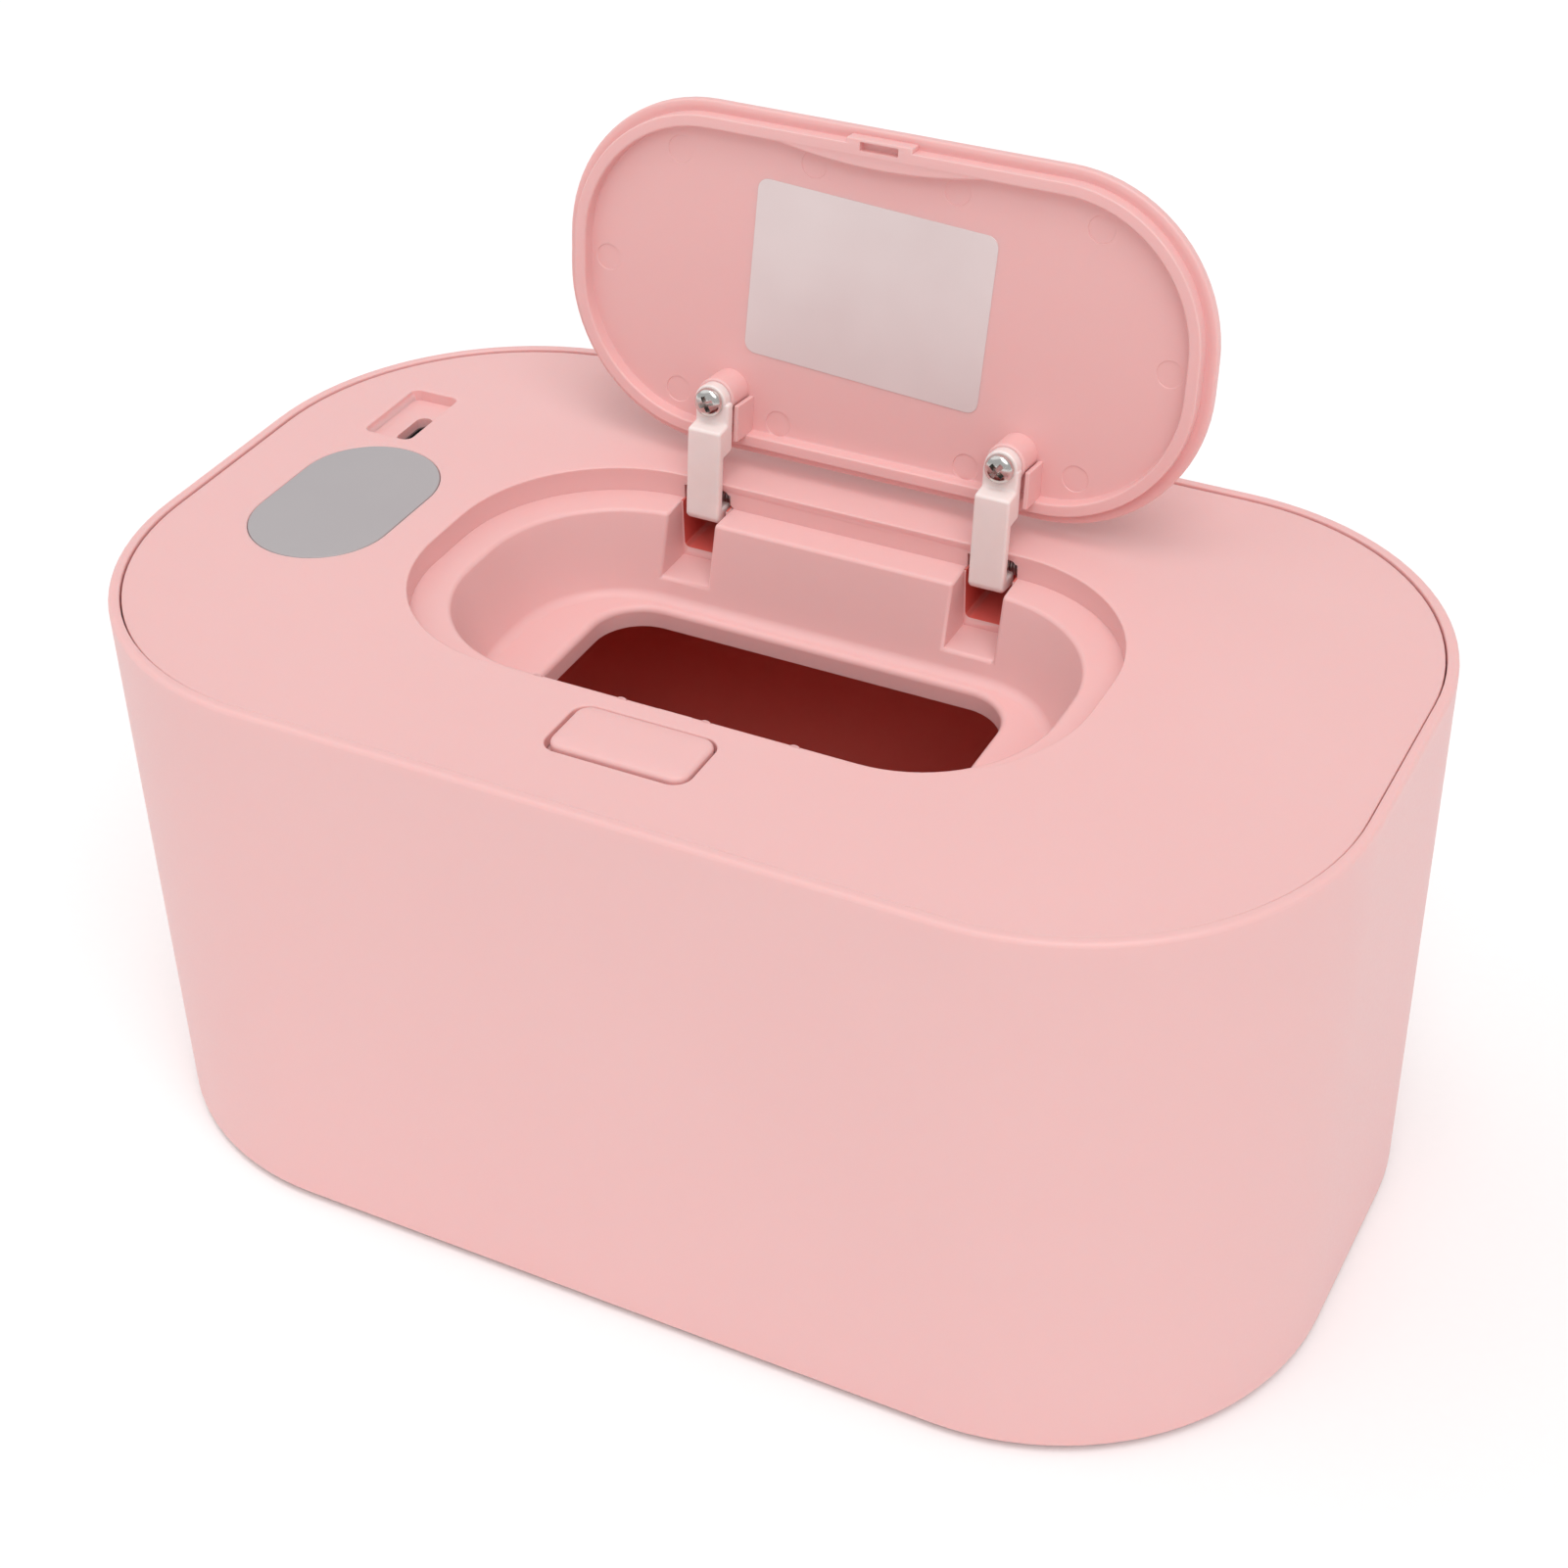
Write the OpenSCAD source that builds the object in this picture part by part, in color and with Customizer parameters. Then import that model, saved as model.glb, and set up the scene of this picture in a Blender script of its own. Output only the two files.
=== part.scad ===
// Baby wipe warmer: a tub with a lift-off heating cover, a sprung dispensing lid and an open button.
// The origin is the centre of the resting plane, +Z is up, the front faces -Y and the length runs along X.

/* [Tub] */
// Length of the tub
body_l = 220; // [212:1:240]
// Depth of the tub, front to back
body_d = 131.8; // [128:0.2:144]
// Height of the outer shell without its feet
shell_h = 104.6; // [90:0.2:130]
// Radius of the tub's vertical corners
corner_r = 49.2; // [46:0.2:54]
// Thickness of the shell's side wall, which is also the width of the rim
shell_wall = 1.8; // [1.6:0.1:2.4]
// Thickness of the shell's floor
shell_floor = 2.4; // [2:0.1:3.5]
// Radius of the round along the shell's top edge
rim_round = 0.8; // [0.4:0.1:1]
// Width of the ribs inside the shell that carry the tank
rib_w = 2.2; // [1.6:0.1:4]
// How far those ribs stand out of the wall
rib_depth = 2.5; // [2.2:0.1:2.8]
// Diameter of a foot
foot_d = 12; // [8:0.5:16]
// How far a foot stands below the shell
foot_proud = 1.2; // [0.8:0.1:2.5]
// Depth of a foot's socket in the floor
foot_sink = 1; // [0.6:0.1:1.4]

/* [Tank] */
// Thickness of the tank's wall and floor
tank_wall = 1.8; // [1.2:0.1:2.2]
// Thickness of the tank's hanging flange
flange_t = 1.8; // [1.2:0.1:2.4]
// Gap between the tank's floor and the shell's floor
tank_floor_gap = 2; // [1:0.1:4]

/* [Cover] */
// Thickness of the top panel
panel_t = 2; // [1.8:0.1:2.2]
// How far the panel lies below the rim
panel_drop = 0.4; // [0.2:0.1:0.8]
// Width of the seam between rim and panel
seam_gap = 0.4; // [0.3:0.1:0.6]
// Thickness of the cover's skirt, tray and pocket walls
cover_wall = 1.8; // [1.4:0.1:2]
// Height of the skirt below the panel's underside
skirt_h = 20; // [20:0.5:26]
// Height of the silicone seal
seal_t = 1.2; // [0.8:0.1:1.6]
// Width of the silicone seal
seal_w = 2.2; // [1.6:0.1:2.4]

/* [Tray] */
// Length of the lid's recess
recess_l = 121.2; // [117:0.2:125]
// Depth of the lid's recess, front to back
recess_d = 65.8; // [64:0.2:68]
// Corner radius of the recess
recess_r = 28.4; // [26:0.2:30]
// Distance of the recess's front edge from the tub's front
tray_y = 30.2; // [29.6:0.1:30.6]
// Depth of the ledge below the panel
ledge_drop = 4.6; // [4.6:0.1:5]
// Width of the ledge
ledge_w = 6.2; // [5.8:0.1:6.6]
// Depth of the tray's floor below the panel
tray_drop = 19.6; // [18.5:0.1:20]
// How far the tray's wall slopes in on its way down
tray_slope = 4.8; // [4.4:0.1:5.2]
// Length of the throat
throat_l = 77.2; // [70:0.2:84]
// Depth of the throat, front to back
throat_d = 38; // [34:0.2:39]
// Corner radius of the throat
throat_r = 9; // [6:0.2:12]
// Length of the throat's tube below the tray floor
throat_h = 4; // [4:0.1:5]

/* [Lid] */
// Gap between the lid and the recess at the ends
lid_side_gap = 0.4; // [0.3:0.1:0.8]
// Gap in front of the lid
lid_front_gap = 1; // [0.6:0.1:1.4]
// Gap behind the lid, for the swing
lid_back_gap = 3; // [2.8:0.1:3.4]
// Thickness of the lid's plate
lid_t = 2; // [1.8:0.1:2]
// Height of the sealing bead above the plate
bead_h = 2.4; // [2:0.1:2.4]
// Width of the sealing bead
bead_w = 2.3; // [1.8:0.1:2.6]
// Width of the flat flange outside the bead
flange_w = 2; // [1.6:0.1:2.4]
// Radius of the thickened front lip's arc
lip_arc_r = 69.7; // [66:0.1:76]
// Width of the lip at its middle, from the lid's edge
lip_w = 7; // [6.4:0.1:8]
// Length of the sticker
sticker_l = 44.5; // [38:0.5:48]
// Height of the sticker
sticker_w = 31.5; // [26:0.5:34]
// Angle at which the lid stands open
open_angle = 97.3; // [90:0.1:98]

/* [Hinge] */
// Distance of each hinge arm from the lid's middle
arm_x = 27.5; // [25:0.5:30]
// Width of a hinge arm
arm_w = 6.5; // [6:0.1:7]
// Thickness of a hinge arm's bar
arm_t = 1.9; // [1.6:0.1:2.1]
// Radius of a hinge arm's hub
hub_r = 2.6; // [2.4:0.1:2.8]
// Width of a hinge arm's hub
hub_w = 4; // [3.6:0.1:4.2]
// Depth of the hinge axis below the panel
pivot_drop = 5; // [4.9:0.1:5.2]
// Distance of the hinge axis behind the recess's back edge
pivot_back = 4.7; // [4.6:0.1:5]
// Diameter of the hinge pin
pin_d = 2; // [1.8:0.1:2.2]
// Radius of the screw bosses on the lid
lid_boss_r = 3.25; // [3:0.05:3.5]
// Height of the screw bosses on the lid
lid_boss_h = 5.8; // [5.6:0.1:6]
// Width of a hinge pocket
pocket_w = 9.2; // [9:0.1:10]
// Depth of a hinge pocket's floor below the panel
pocket_drop = 15.6; // [15:0.1:16]

/* [Button and latch] */
// Length of the open button
button_l = 24.8; // [22:0.2:28]
// Width of the open button
button_w = 12.4; // [11:0.2:13]
// Corner radius of the open button
button_r = 2.6; // [2:0.1:4]
// How far the button stands above the panel
button_proud = 0.9; // [0.6:0.1:1.2]
// Travel of the open button
button_travel = 1.5; // [1:0.1:1.5]
// Gap around the button
button_gap = 0.4; // [0.3:0.05:0.5]
// How far the latch moves for each millimetre of button travel
latch_ratio = 0.4; // [0.3:0.05:0.4]
// Width of the latch hook
hook_w = 6; // [5:0.1:6.4]
// Thickness of the latch hook
hook_t = 0.8; // [0.6:0.1:0.9]
// Thickness of the bracket that carries the latch
bracket_t = 1.6; // [1.2:0.1:2]
// Height of the button springs at rest
spring_h = 5.8; // [5.6:0.1:6.2]

/* [Display and inlet] */
// Place of the display window between the recess at 0 and the skirt at 1
window_x = 0.532; // [0.4:0.001:0.6]
// Length of the display window, front to back
window_l = 41.8; // [38:0.2:43]
// Width of the display window
window_w = 27.8; // [26:0.2:28]
// Thickness of the display window
window_t = 1.2; // [0.8:0.1:1.4]
// Distance of the inlet from the control board's outer edge
inlet_x = 7; // [6.6:0.1:7.6]
// Distance of the inlet from the tub's back
inlet_y = 38.9; // [38.4:0.1:39.4]
// Depth of the inlet's pocket
inlet_drop = 2.2; // [1.8:0.1:2.6]
// Outer length of the inlet's metal shell
plug_l = 8.94; // [8.8:0.02:9]
// Outer width of the inlet's metal shell
plug_w = 3.26; // [3.1:0.02:3.3]
// Thickness of the control board
board_t = 1.6; // [1.2:0.1:1.8]
// How far the board reaches in front of the window
board_front = 7.3; // [7.3:0.1:9]
// Depth of the board's top below the panel
board_drop = 12.8; // [12:0.1:13.2]

/* [Heater] */
// Thickness of the underplate
under_t = 1.6; // [1.4:0.1:1.8]
// Thickness of the insulating felt
felt_t = 1; // [0.8:0.1:2]
// Thickness of the heating film
film_t = 0.3; // [0.2:0.05:0.5]
// Thickness of the aluminium heating plate
heat_t = 0.8; // [0.6:0.1:1.2]
// Distance of the heating stack from the skirt's outside
heat_margin = 13; // [12.5:0.1:15]
// Distance of the heating stack from the throat's tube
heat_setback = 3.5; // [2:0.1:5]

/* [Fasteners] */
// Outer radius of a screw boss
boss_r = 3; // [2.8:0.1:3.2]
// Shank radius of the screws
screw_r = 1.2; // [1:0.1:1.3]
// Head radius of the screws
head_r = 2.4; // [2.2:0.1:2.5]
// Head height of the screws
head_h = 1.6; // [1.2:0.1:1.8]
// Clearance between pieces of different bodies
clear_gap = 0.3; // [0.25:0.01:0.4]
// Clearance around a piece that fits into another of its own body
fit_gap = 0.1; // [0.05:0.01:0.15]
// Radial running clearance of a pin
run_gap = 0.05; // [0.03:0.01:0.08]

/* [Hidden] */
$fn = 64;
// Fine enough for the curves of the tub and the lid
smooth = 128;
// Small overlap that joins pieces of one solid and cuts cleanly through a face
nib = 0.01;

// Distances between the centres of the tub's corner arcs
core_l = body_l - 2 * corner_r;
core_d = body_d - 2 * corner_r;
// Middle of the recess
tray_mid_y = tray_y - body_d / 2 + recess_d / 2;

// Heights
shell_z = foot_proud;
rim_z = shell_z + shell_h;
top_z = rim_z - panel_drop;
under_z = top_z - panel_t;
ledge_z = top_z - ledge_drop;
tray_z = top_z - tray_drop;
throat_z = tray_z - throat_h;
flange_top_z = under_z - seal_t;
flange_z = flange_top_z - flange_t;
skirt_z = under_z - skirt_h;
plate_z = skirt_z - under_t;
felt_z = plate_z - felt_t;
film_z = felt_z - film_t;
heat_z = film_z - heat_t;
tank_z = shell_z + shell_floor + tank_floor_gap;
board_z = top_z - board_drop;
button_flange_t = 1.4;
button_flange_top = under_z - clear_gap;
button_flange_z = button_flange_top - button_flange_t;
bracket_z = button_flange_z - spring_h;
pivot_z = top_z - pivot_drop;

// Distances in from the tub's outside, with room for the tank and the skirt to slide in
slide_gap = 0.5;
shell_in = shell_wall;
panel_in = shell_wall + seam_gap;
tank_flange_in = shell_wall + clear_gap;
tank_in = shell_wall + rib_depth + slide_gap;
skirt_in = tank_in + tank_wall + slide_gap;
skirt_inner_in = skirt_in + cover_wall;
heat_in = skirt_in + heat_margin;
// Ring on which the underplate's screws sit
boss_setback = 2.5;
boss_ring_in = skirt_inner_in + boss_r + boss_setback;

// Lid, closed
lid_l = recess_l - 2 * lid_side_gap;
lid_d = recess_d - lid_front_gap - lid_back_gap;
lid_r = recess_r - lid_side_gap;
lid_y = tray_mid_y + (lid_front_gap - lid_back_gap) / 2;
lid_half_t = lid_t / 2;
pivot_y = tray_mid_y + recess_d / 2 + pivot_back;
// The hinge axis in the lid's own frame, whose y runs to the latch side and z to the inside
pivot_u = lid_y - pivot_y;
pivot_n = pivot_drop - lid_half_t;
crest_n = lid_half_t + bead_h;
boss_top_n = lid_half_t + lid_boss_h;
bead_in = flange_w;
eyelet_t = 2;
// Screw, bar and step of a hinge arm along the lid
arm_reach = 19.1;
arm_step = 4.3;
arm_joggle = 9.1;
arm_rise = 3;
arm_screw_u = pivot_u + arm_reach;
arm_step_u = arm_screw_u - arm_step;
arm_joggle_u = arm_screw_u - arm_joggle;
arm_back_n = boss_top_n + arm_rise;
arm_front_n = arm_back_n + arm_t;
hub_x = -(arm_w - hub_w) / 2;
// The notch in the front lip
notch_in = 2.7;
notch_u = lid_d / 2 - notch_in;
notch_h = 1.7;
// The small nubs that centre the lid in front
nub_spots = [-23, -7.5, 7.5, 23];
nub_r = 1;
nub_out = 0.5;
nub_top_drop = 0.4;

// Hinge pocket
pocket_back_gap = 2.6;
pocket_back_y = pivot_y + hub_r + pocket_back_gap;
coil_wire_r = 0.25;
coil_turns = 4;
coil_pitch = 0.55;
coil_r = 1.8;
coil_gap = 0.25;
coil_x = hub_x + hub_w / 2 + coil_gap + coil_wire_r;

// Button and latch
button_in = 20;
button_y = -(body_d / 2 - button_in);
flange_over = 1;
spring_x = 10;
spring_r = 2.2;
spring_wire_r = 0.25;
spigot_gap = 0.4;
spigot_r = spring_r - spring_wire_r - spigot_gap;
spigot_h = (spring_h - button_travel) / 2 - clear_gap;
latch_lift = 0.2;
latch_z = bracket_z + latch_lift;
latch_t = 1.5;
latch_half_w = 6;
blade_w = 5.6;
blade_t = 3.5;
blade_gap = 0.15;
blade_front = 1;
blade_room = 1;
hook_y = lid_y - notch_u;
hook_drop = 3.2;
hook_top_z = top_z - hook_drop;
hook_slot_d = 2.5;
hook_slot_w = hook_w + hook_slot_d;
bracket_half_l = 26;
bracket_boss_x = 22;
bracket_front = 9;
bracket_back = 10;
bracket_front_y = button_y - bracket_front;
bracket_back_y = button_y + bracket_back;

// Along the depth: the inlet, its pocket's edges around it, and the window in front of the pocket
inlet_at_y = body_d / 2 - inlet_y;
inlet_front = 7;
inlet_behind = 10.2;
window_gap = 2.9;
window_y = inlet_at_y - inlet_front - window_gap - window_l / 2;

// Control board: its outer corners keep a gap from the skirt's arcs
board_gap = 0.86;
board_tray_gap = 3.4;
board_behind = 11;
board_hole_in = 4;
board_hole_back = 3;
board_y0 = window_y - window_l / 2 - board_front;
board_y1 = inlet_at_y + board_behind;
board_arc_r = corner_r - skirt_inner_in - board_gap;
board_corner_y = max(board_y1, -board_y0) - core_d / 2;
board_x0 = -core_l / 2 - sqrt(board_arc_r * board_arc_r - board_corner_y * board_corner_y);
board_x1 = -recess_l / 2 - board_tray_gap;
board_under_z = board_z - board_t;
board_hole_x = [board_x0 + board_hole_in, board_x1 - board_hole_in];
board_hole_y = [board_y0 + board_hole_in, board_y1 - board_hole_back];

// Inlet and its pocket
inlet_at_x = board_x0 + inlet_x;
inlet_floor_z = top_z - inlet_drop;
inlet_under_z = inlet_floor_z - cover_wall;
inlet_left = 6.3;
inlet_right = 3.4;
inlet_pocket_r = 1.5;
plug_gap_l = 0.3;
plug_gap_w = 0.1;

// Display: the window lies between the recess and the skirt
window_lip = 1.4;
window_inner = recess_l / 2 + cover_wall;
window_outer = body_l / 2 - skirt_inner_in;
window_at = -window_inner - window_x * (window_outer - window_inner - window_w) - window_w / 2;

// Light box under the window, with the touch springs and the display in it
light_end = 3.5;
light_side = 4.4;
light_wall = 1;
light_r = 3;
light_l = window_l - 2 * light_end;
light_w = window_w - 2 * light_side;
touch_r = 2.2;
touch_wire_r = 0.3;
touch_in = 4.2;
touch_y = light_l / 2 - touch_in;
display_w = 12;
display_h = 7;
display_gap = 0.7;
display_l = 2 * (touch_y - touch_r - touch_wire_r - display_gap);

// Service window in the underplate and the felt
service_in = 1.9;
service_shift = 4;
service_l = 22;
service_d = 18;
service_x = -(body_l / 2 - heat_in - service_in - service_l / 2);
service_y = tray_mid_y - service_shift;

// Screw places of the underplate: the four corners, two in front and one behind
ring_r = corner_r - boss_ring_in;
ring_turn = 62;
front_screw_gap = 10;
under_screws = [
    for (sx = [-1, 1], sy = [-1, 1])
        [sx * (core_l / 2 + ring_r * cos(ring_turn)), sy * (core_d / 2 + ring_r * sin(ring_turn))],
    for (sx = [-1, 1]) [sx * (bracket_half_l + front_screw_gap), -(body_d / 2 - boss_ring_in)],
    [0, body_d / 2 - boss_ring_in]
];
heat_screw_x = 3;
heat_screw_y = 8;
heat_screws = [for (sx = [-1, 1], sy = [-1, 1])
    [sx * (core_l / 2 - heat_screw_x), sy * (body_d / 2 - heat_in - heat_screw_y)]];
heat_boss_h = 3.5;

// Depths of the pilot holes and lengths of the screws beyond what they clamp
under_pilot = 8;
board_pilot = 7;
bracket_pilot = 5;
heat_pilot_left = 1;
under_shank = 6;
board_shank = 5;
bracket_shank = 4;
lid_shank = 4.5;
heat_shank_left = 1.5;
cross_w = 0.6;

pink = [0.93, 0.74, 0.73];
deep_pink = [0.86, 0.60, 0.58];
nylon = [0.94, 0.86, 0.82];
steel = [0.75, 0.76, 0.78];
charcoal = [0.2, 0.2, 0.22];

// A rectangle with round corners, made of true arcs
module rounded_plan(len, dep, r) {
    square([len - 2 * r, dep], center = true);
    square([len, dep - 2 * r], center = true);
    for (sx = [-1, 1], sy = [-1, 1])
        translate([sx * (len / 2 - r), sy * (dep / 2 - r)])
            circle(r = r, $fn = smooth);
}

// The tub's outline, set in by a distance
module tub_plan(inset) {
    rounded_plan(body_l - 2 * inset, body_d - 2 * inset, corner_r - inset);
}

module tub_slab(inset, z, h) {
    translate([0, 0, z]) linear_extrude(h) tub_plan(inset);
}

// An upright ring that follows the tub's outline
module tub_ring(outer_in, inner_in, z, h) {
    translate([0, 0, z]) linear_extrude(h) difference() {
        tub_plan(outer_in);
        tub_plan(inner_in);
    }
}

// Carries a profile around a rounded rectangle: x counts outward from the outline, y is the height
module run_around(len, dep, r) {
    for (q = [0 : 3]) {
        sx = q == 0 || q == 3 ? 1 : -1;
        sy = q < 2 ? 1 : -1;
        reach = q % 2 == 0 ? len / 2 : dep / 2;
        side = q % 2 == 0 ? dep - 2 * r : len - 2 * r;
        translate([sx * (len / 2 - r), sy * (dep / 2 - r), 0])
            rotate(90 * q)
                rotate_extrude(angle = 90, $fn = smooth)
                    translate([r, 0]) children();
        rotate(90 * q) rotate([90, 0, 0])
            linear_extrude(side, center = true)
                translate([reach, 0]) children();
    }
}

// A block with round corners that grows from its foot to its top by the slope on every side
module tapered_block(len, dep, r, slope, h) {
    core_in = slope + 1;
    run_around(len, dep, r) polygon([[-core_in - 1, 0], [-slope, 0], [0, h], [-core_in - 1, h]]);
    linear_extrude(h) rounded_plan(len - 2 * core_in, dep - 2 * core_in, r - core_in);
}

module recess_slab(grow, z, h) {
    translate([0, tray_mid_y, z]) linear_extrude(h)
        rounded_plan(recess_l + 2 * grow, recess_d + 2 * grow, recess_r + grow);
}

module bowl(grow, z0, z1) {
    out = grow - ledge_w;
    r = recess_r + out + 1.4;
    translate([0, tray_mid_y, z0])
        tapered_block(recess_l + 2 * out, recess_d + 2 * out, r, tray_slope, z1 - z0);
}

module throat_slab(grow, z, h) {
    translate([0, tray_mid_y, z]) linear_extrude(h)
        rounded_plan(throat_l + 2 * grow, throat_d + 2 * grow, throat_r + grow);
}

module post(p, r, z, h) {
    translate([p[0], p[1], z]) cylinder(r = r, h = h);
}

// A pan-head screw: the head hangs below the seat and the shank goes up
module screw_up(p, seat_z, shank) {
    translate([p[0], p[1], seat_z - head_h]) difference() {
        union() {
            cylinder(r = head_r, h = head_h);
            cylinder(r = screw_r, h = head_h + shank);
        }
        for (turn = [0, 90])
            rotate(turn) translate([-head_r * 0.6, -cross_w / 2, -nib])
                cube([head_r * 1.2, cross_w, head_h * 0.6]);
    }
}

// Points of a ring of a swept round wire
function ring_points(c, side, up, r, n) =
    [for (i = [0 : n - 1]) c + r * (cos(360 * i / n) * side + sin(360 * i / n) * up)];

// Joins rings of points into a closed wire
module wire(rings) {
    n = len(rings[0]);
    m = len(rings);
    skin = [for (j = [0 : m - 2], i = [0 : n - 1])
        [j * n + i, j * n + (i + 1) % n, (j + 1) * n + (i + 1) % n, (j + 1) * n + i]];
    foot = [[for (i = [n - 1 : -1 : 0]) i]];
    head = [[for (i = [0 : n - 1]) (m - 1) * n + i]];
    polyhedron(points = [for (g = rings, p = g) p], faces = concat(skin, foot, head));
}

// A coil of round wire that stands on z = 0 and reaches the height h
module coil(r, wire_r, turns, h) {
    steps = 12;
    rise = h - 2 * wire_r;
    wire([for (k = [0 : turns * steps])
        let (a = 360 * k / steps, c = [r * cos(a), r * sin(a), wire_r + rise * k / (turns * steps)])
            ring_points(c, [cos(a), sin(a), 0], [0, 0, 1], wire_r, 6)]);
}

// An insulated lead that rises, steps sideways through two bends and rises again
module lead(from, to, r, bend) {
    flat = [to[0] - from[0], to[1] - from[1], 0];
    run = norm(flat);
    along = flat / run;
    across = cross([0, 0, 1], along);
    middle = (from[2] + to[2]) / 2 - from[2];
    steps = 4;
    // Distance along, height and heading of each ring
    stations = concat(
        [[0, 0, 0]],
        [for (k = [0 : steps]) let (t = 90 * k / steps)
            [bend - bend * cos(t), middle - bend + bend * sin(t), t]],
        [for (k = [0 : steps]) let (t = 90 * k / steps)
            [run - bend + bend * sin(t), middle + bend - bend * cos(t), 90 - t]],
        [[run, to[2] - from[2], 0]]
    );
    wire([for (s = stations)
        let (heading = sin(s[2]) * along + cos(s[2]) * [0, 0, 1])
            ring_points(from + s[0] * along + [0, 0, s[1]], cross(heading, across), across, r, 8)]);
}

// Puts a piece that is drawn in the lid's frame where the open lid stands
module on_open_lid() {
    translate([0, pivot_y, pivot_z])
        rotate([180 - open_angle, 0, 0])
            translate([0, -pivot_u, -pivot_n])
                children();
}

foot_reach = corner_r / 2;
foot_spots = [for (sx = [-1, 1], sy = [-1, 1])
    [sx * (core_l / 2 + foot_reach * cos(45)), sy * (core_d / 2 + foot_reach * sin(45))]];

// Places of the ribs along the shell's straight walls
rib_spots_x = [-0.4, 0, 0.4];

module shell_rib(x, y, turn) {
    reach = shell_in + rib_depth;
    foot_z = shell_z + shell_floor - nib;
    translate([x, y, foot_z]) rotate(turn)
        translate([-rib_w / 2, -reach, 0]) cube([rib_w, reach - shell_in / 2, flange_z - foot_z]);
}

module outer_shell() {
    color(pink) difference() {
        union() {
            tub_slab(0, shell_z, shell_floor);
            translate([0, 0, shell_z]) run_around(body_l, body_d, corner_r)
                union() {
                    translate([-shell_wall, 0]) square([shell_wall, shell_h - rim_round]);
                    translate([-shell_wall, 0]) square([shell_wall - rim_round, shell_h]);
                    translate([-rim_round, shell_h - rim_round]) intersection() {
                        circle(r = rim_round);
                        square(rim_round);
                    }
                }
            for (share = rib_spots_x, side = [0, 180])
                shell_rib(share * core_l, side == 0 ? body_d / 2 : -body_d / 2, side);
            for (side = [90, -90])
                shell_rib(side > 0 ? -body_l / 2 : body_l / 2, 0, side);
        }
        for (p = foot_spots) post(p, foot_d / 2 + fit_gap, shell_z - nib, foot_sink + nib);
    }
}

module rubber_feet() {
    bevel = 0.6;
    color(charcoal) for (p = foot_spots) translate([p[0], p[1], 0]) {
        cylinder(r1 = foot_d / 2 - bevel, r2 = foot_d / 2, h = foot_proud / 2);
        translate([0, 0, foot_proud / 2]) cylinder(r = foot_d / 2, h = foot_proud / 2 + foot_sink);
    }
}

module inner_tank() {
    color(deep_pink) {
        tub_slab(tank_in, tank_z, tank_wall);
        tub_ring(tank_in, tank_in + tank_wall, tank_z, flange_top_z - tank_z);
        tub_ring(tank_flange_in, tank_in + tank_wall, flange_z, flange_t);
    }
}

// One hinge pocket's outer box, from the tray to its back wall
module pocket_box(x) {
    w = pocket_w + 2 * cover_wall;
    z = top_z - pocket_drop - cover_wall;
    translate([x - w / 2, tray_mid_y, z])
        cube([w, pocket_back_y + cover_wall - tray_mid_y, under_z - z + nib]);
}

module pocket_cut(x) {
    z = top_z - pocket_drop;
    translate([x - pocket_w / 2, tray_mid_y, z])
        cube([pocket_w, pocket_back_y - tray_mid_y, under_z - z]);
    translate([x - pocket_w / 2, tray_mid_y, z])
        cube([pocket_w, recess_d / 2, top_z - z]);
    translate([x, pivot_y, pivot_z]) rotate([0, 90, 0])
        cylinder(r = pin_d / 2 + run_gap, h = pocket_w + 2 * cover_wall + 2 * nib, center = true);
}

module window_plan(grow) {
    rounded_plan(window_w + 2 * grow, window_l + 2 * grow, window_w / 2 + grow - nib);
}

module inlet_slab(grow, z, h) {
    mid_x = inlet_at_x + (inlet_right - inlet_left) / 2;
    mid_y = inlet_at_y + (inlet_behind - inlet_front) / 2;
    len = inlet_left + inlet_right + 2 * grow;
    dep = inlet_front + inlet_behind + 2 * grow;
    translate([mid_x, mid_y, z]) linear_extrude(h) rounded_plan(len, dep, inlet_pocket_r + grow);
}

// A slot-shaped outline with full round ends, long along y
module slot_plan(l, w) {
    square([w, l - w], center = true);
    for (s = [-1, 1]) translate([0, s * (l - w) / 2]) circle(d = w);
}

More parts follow.
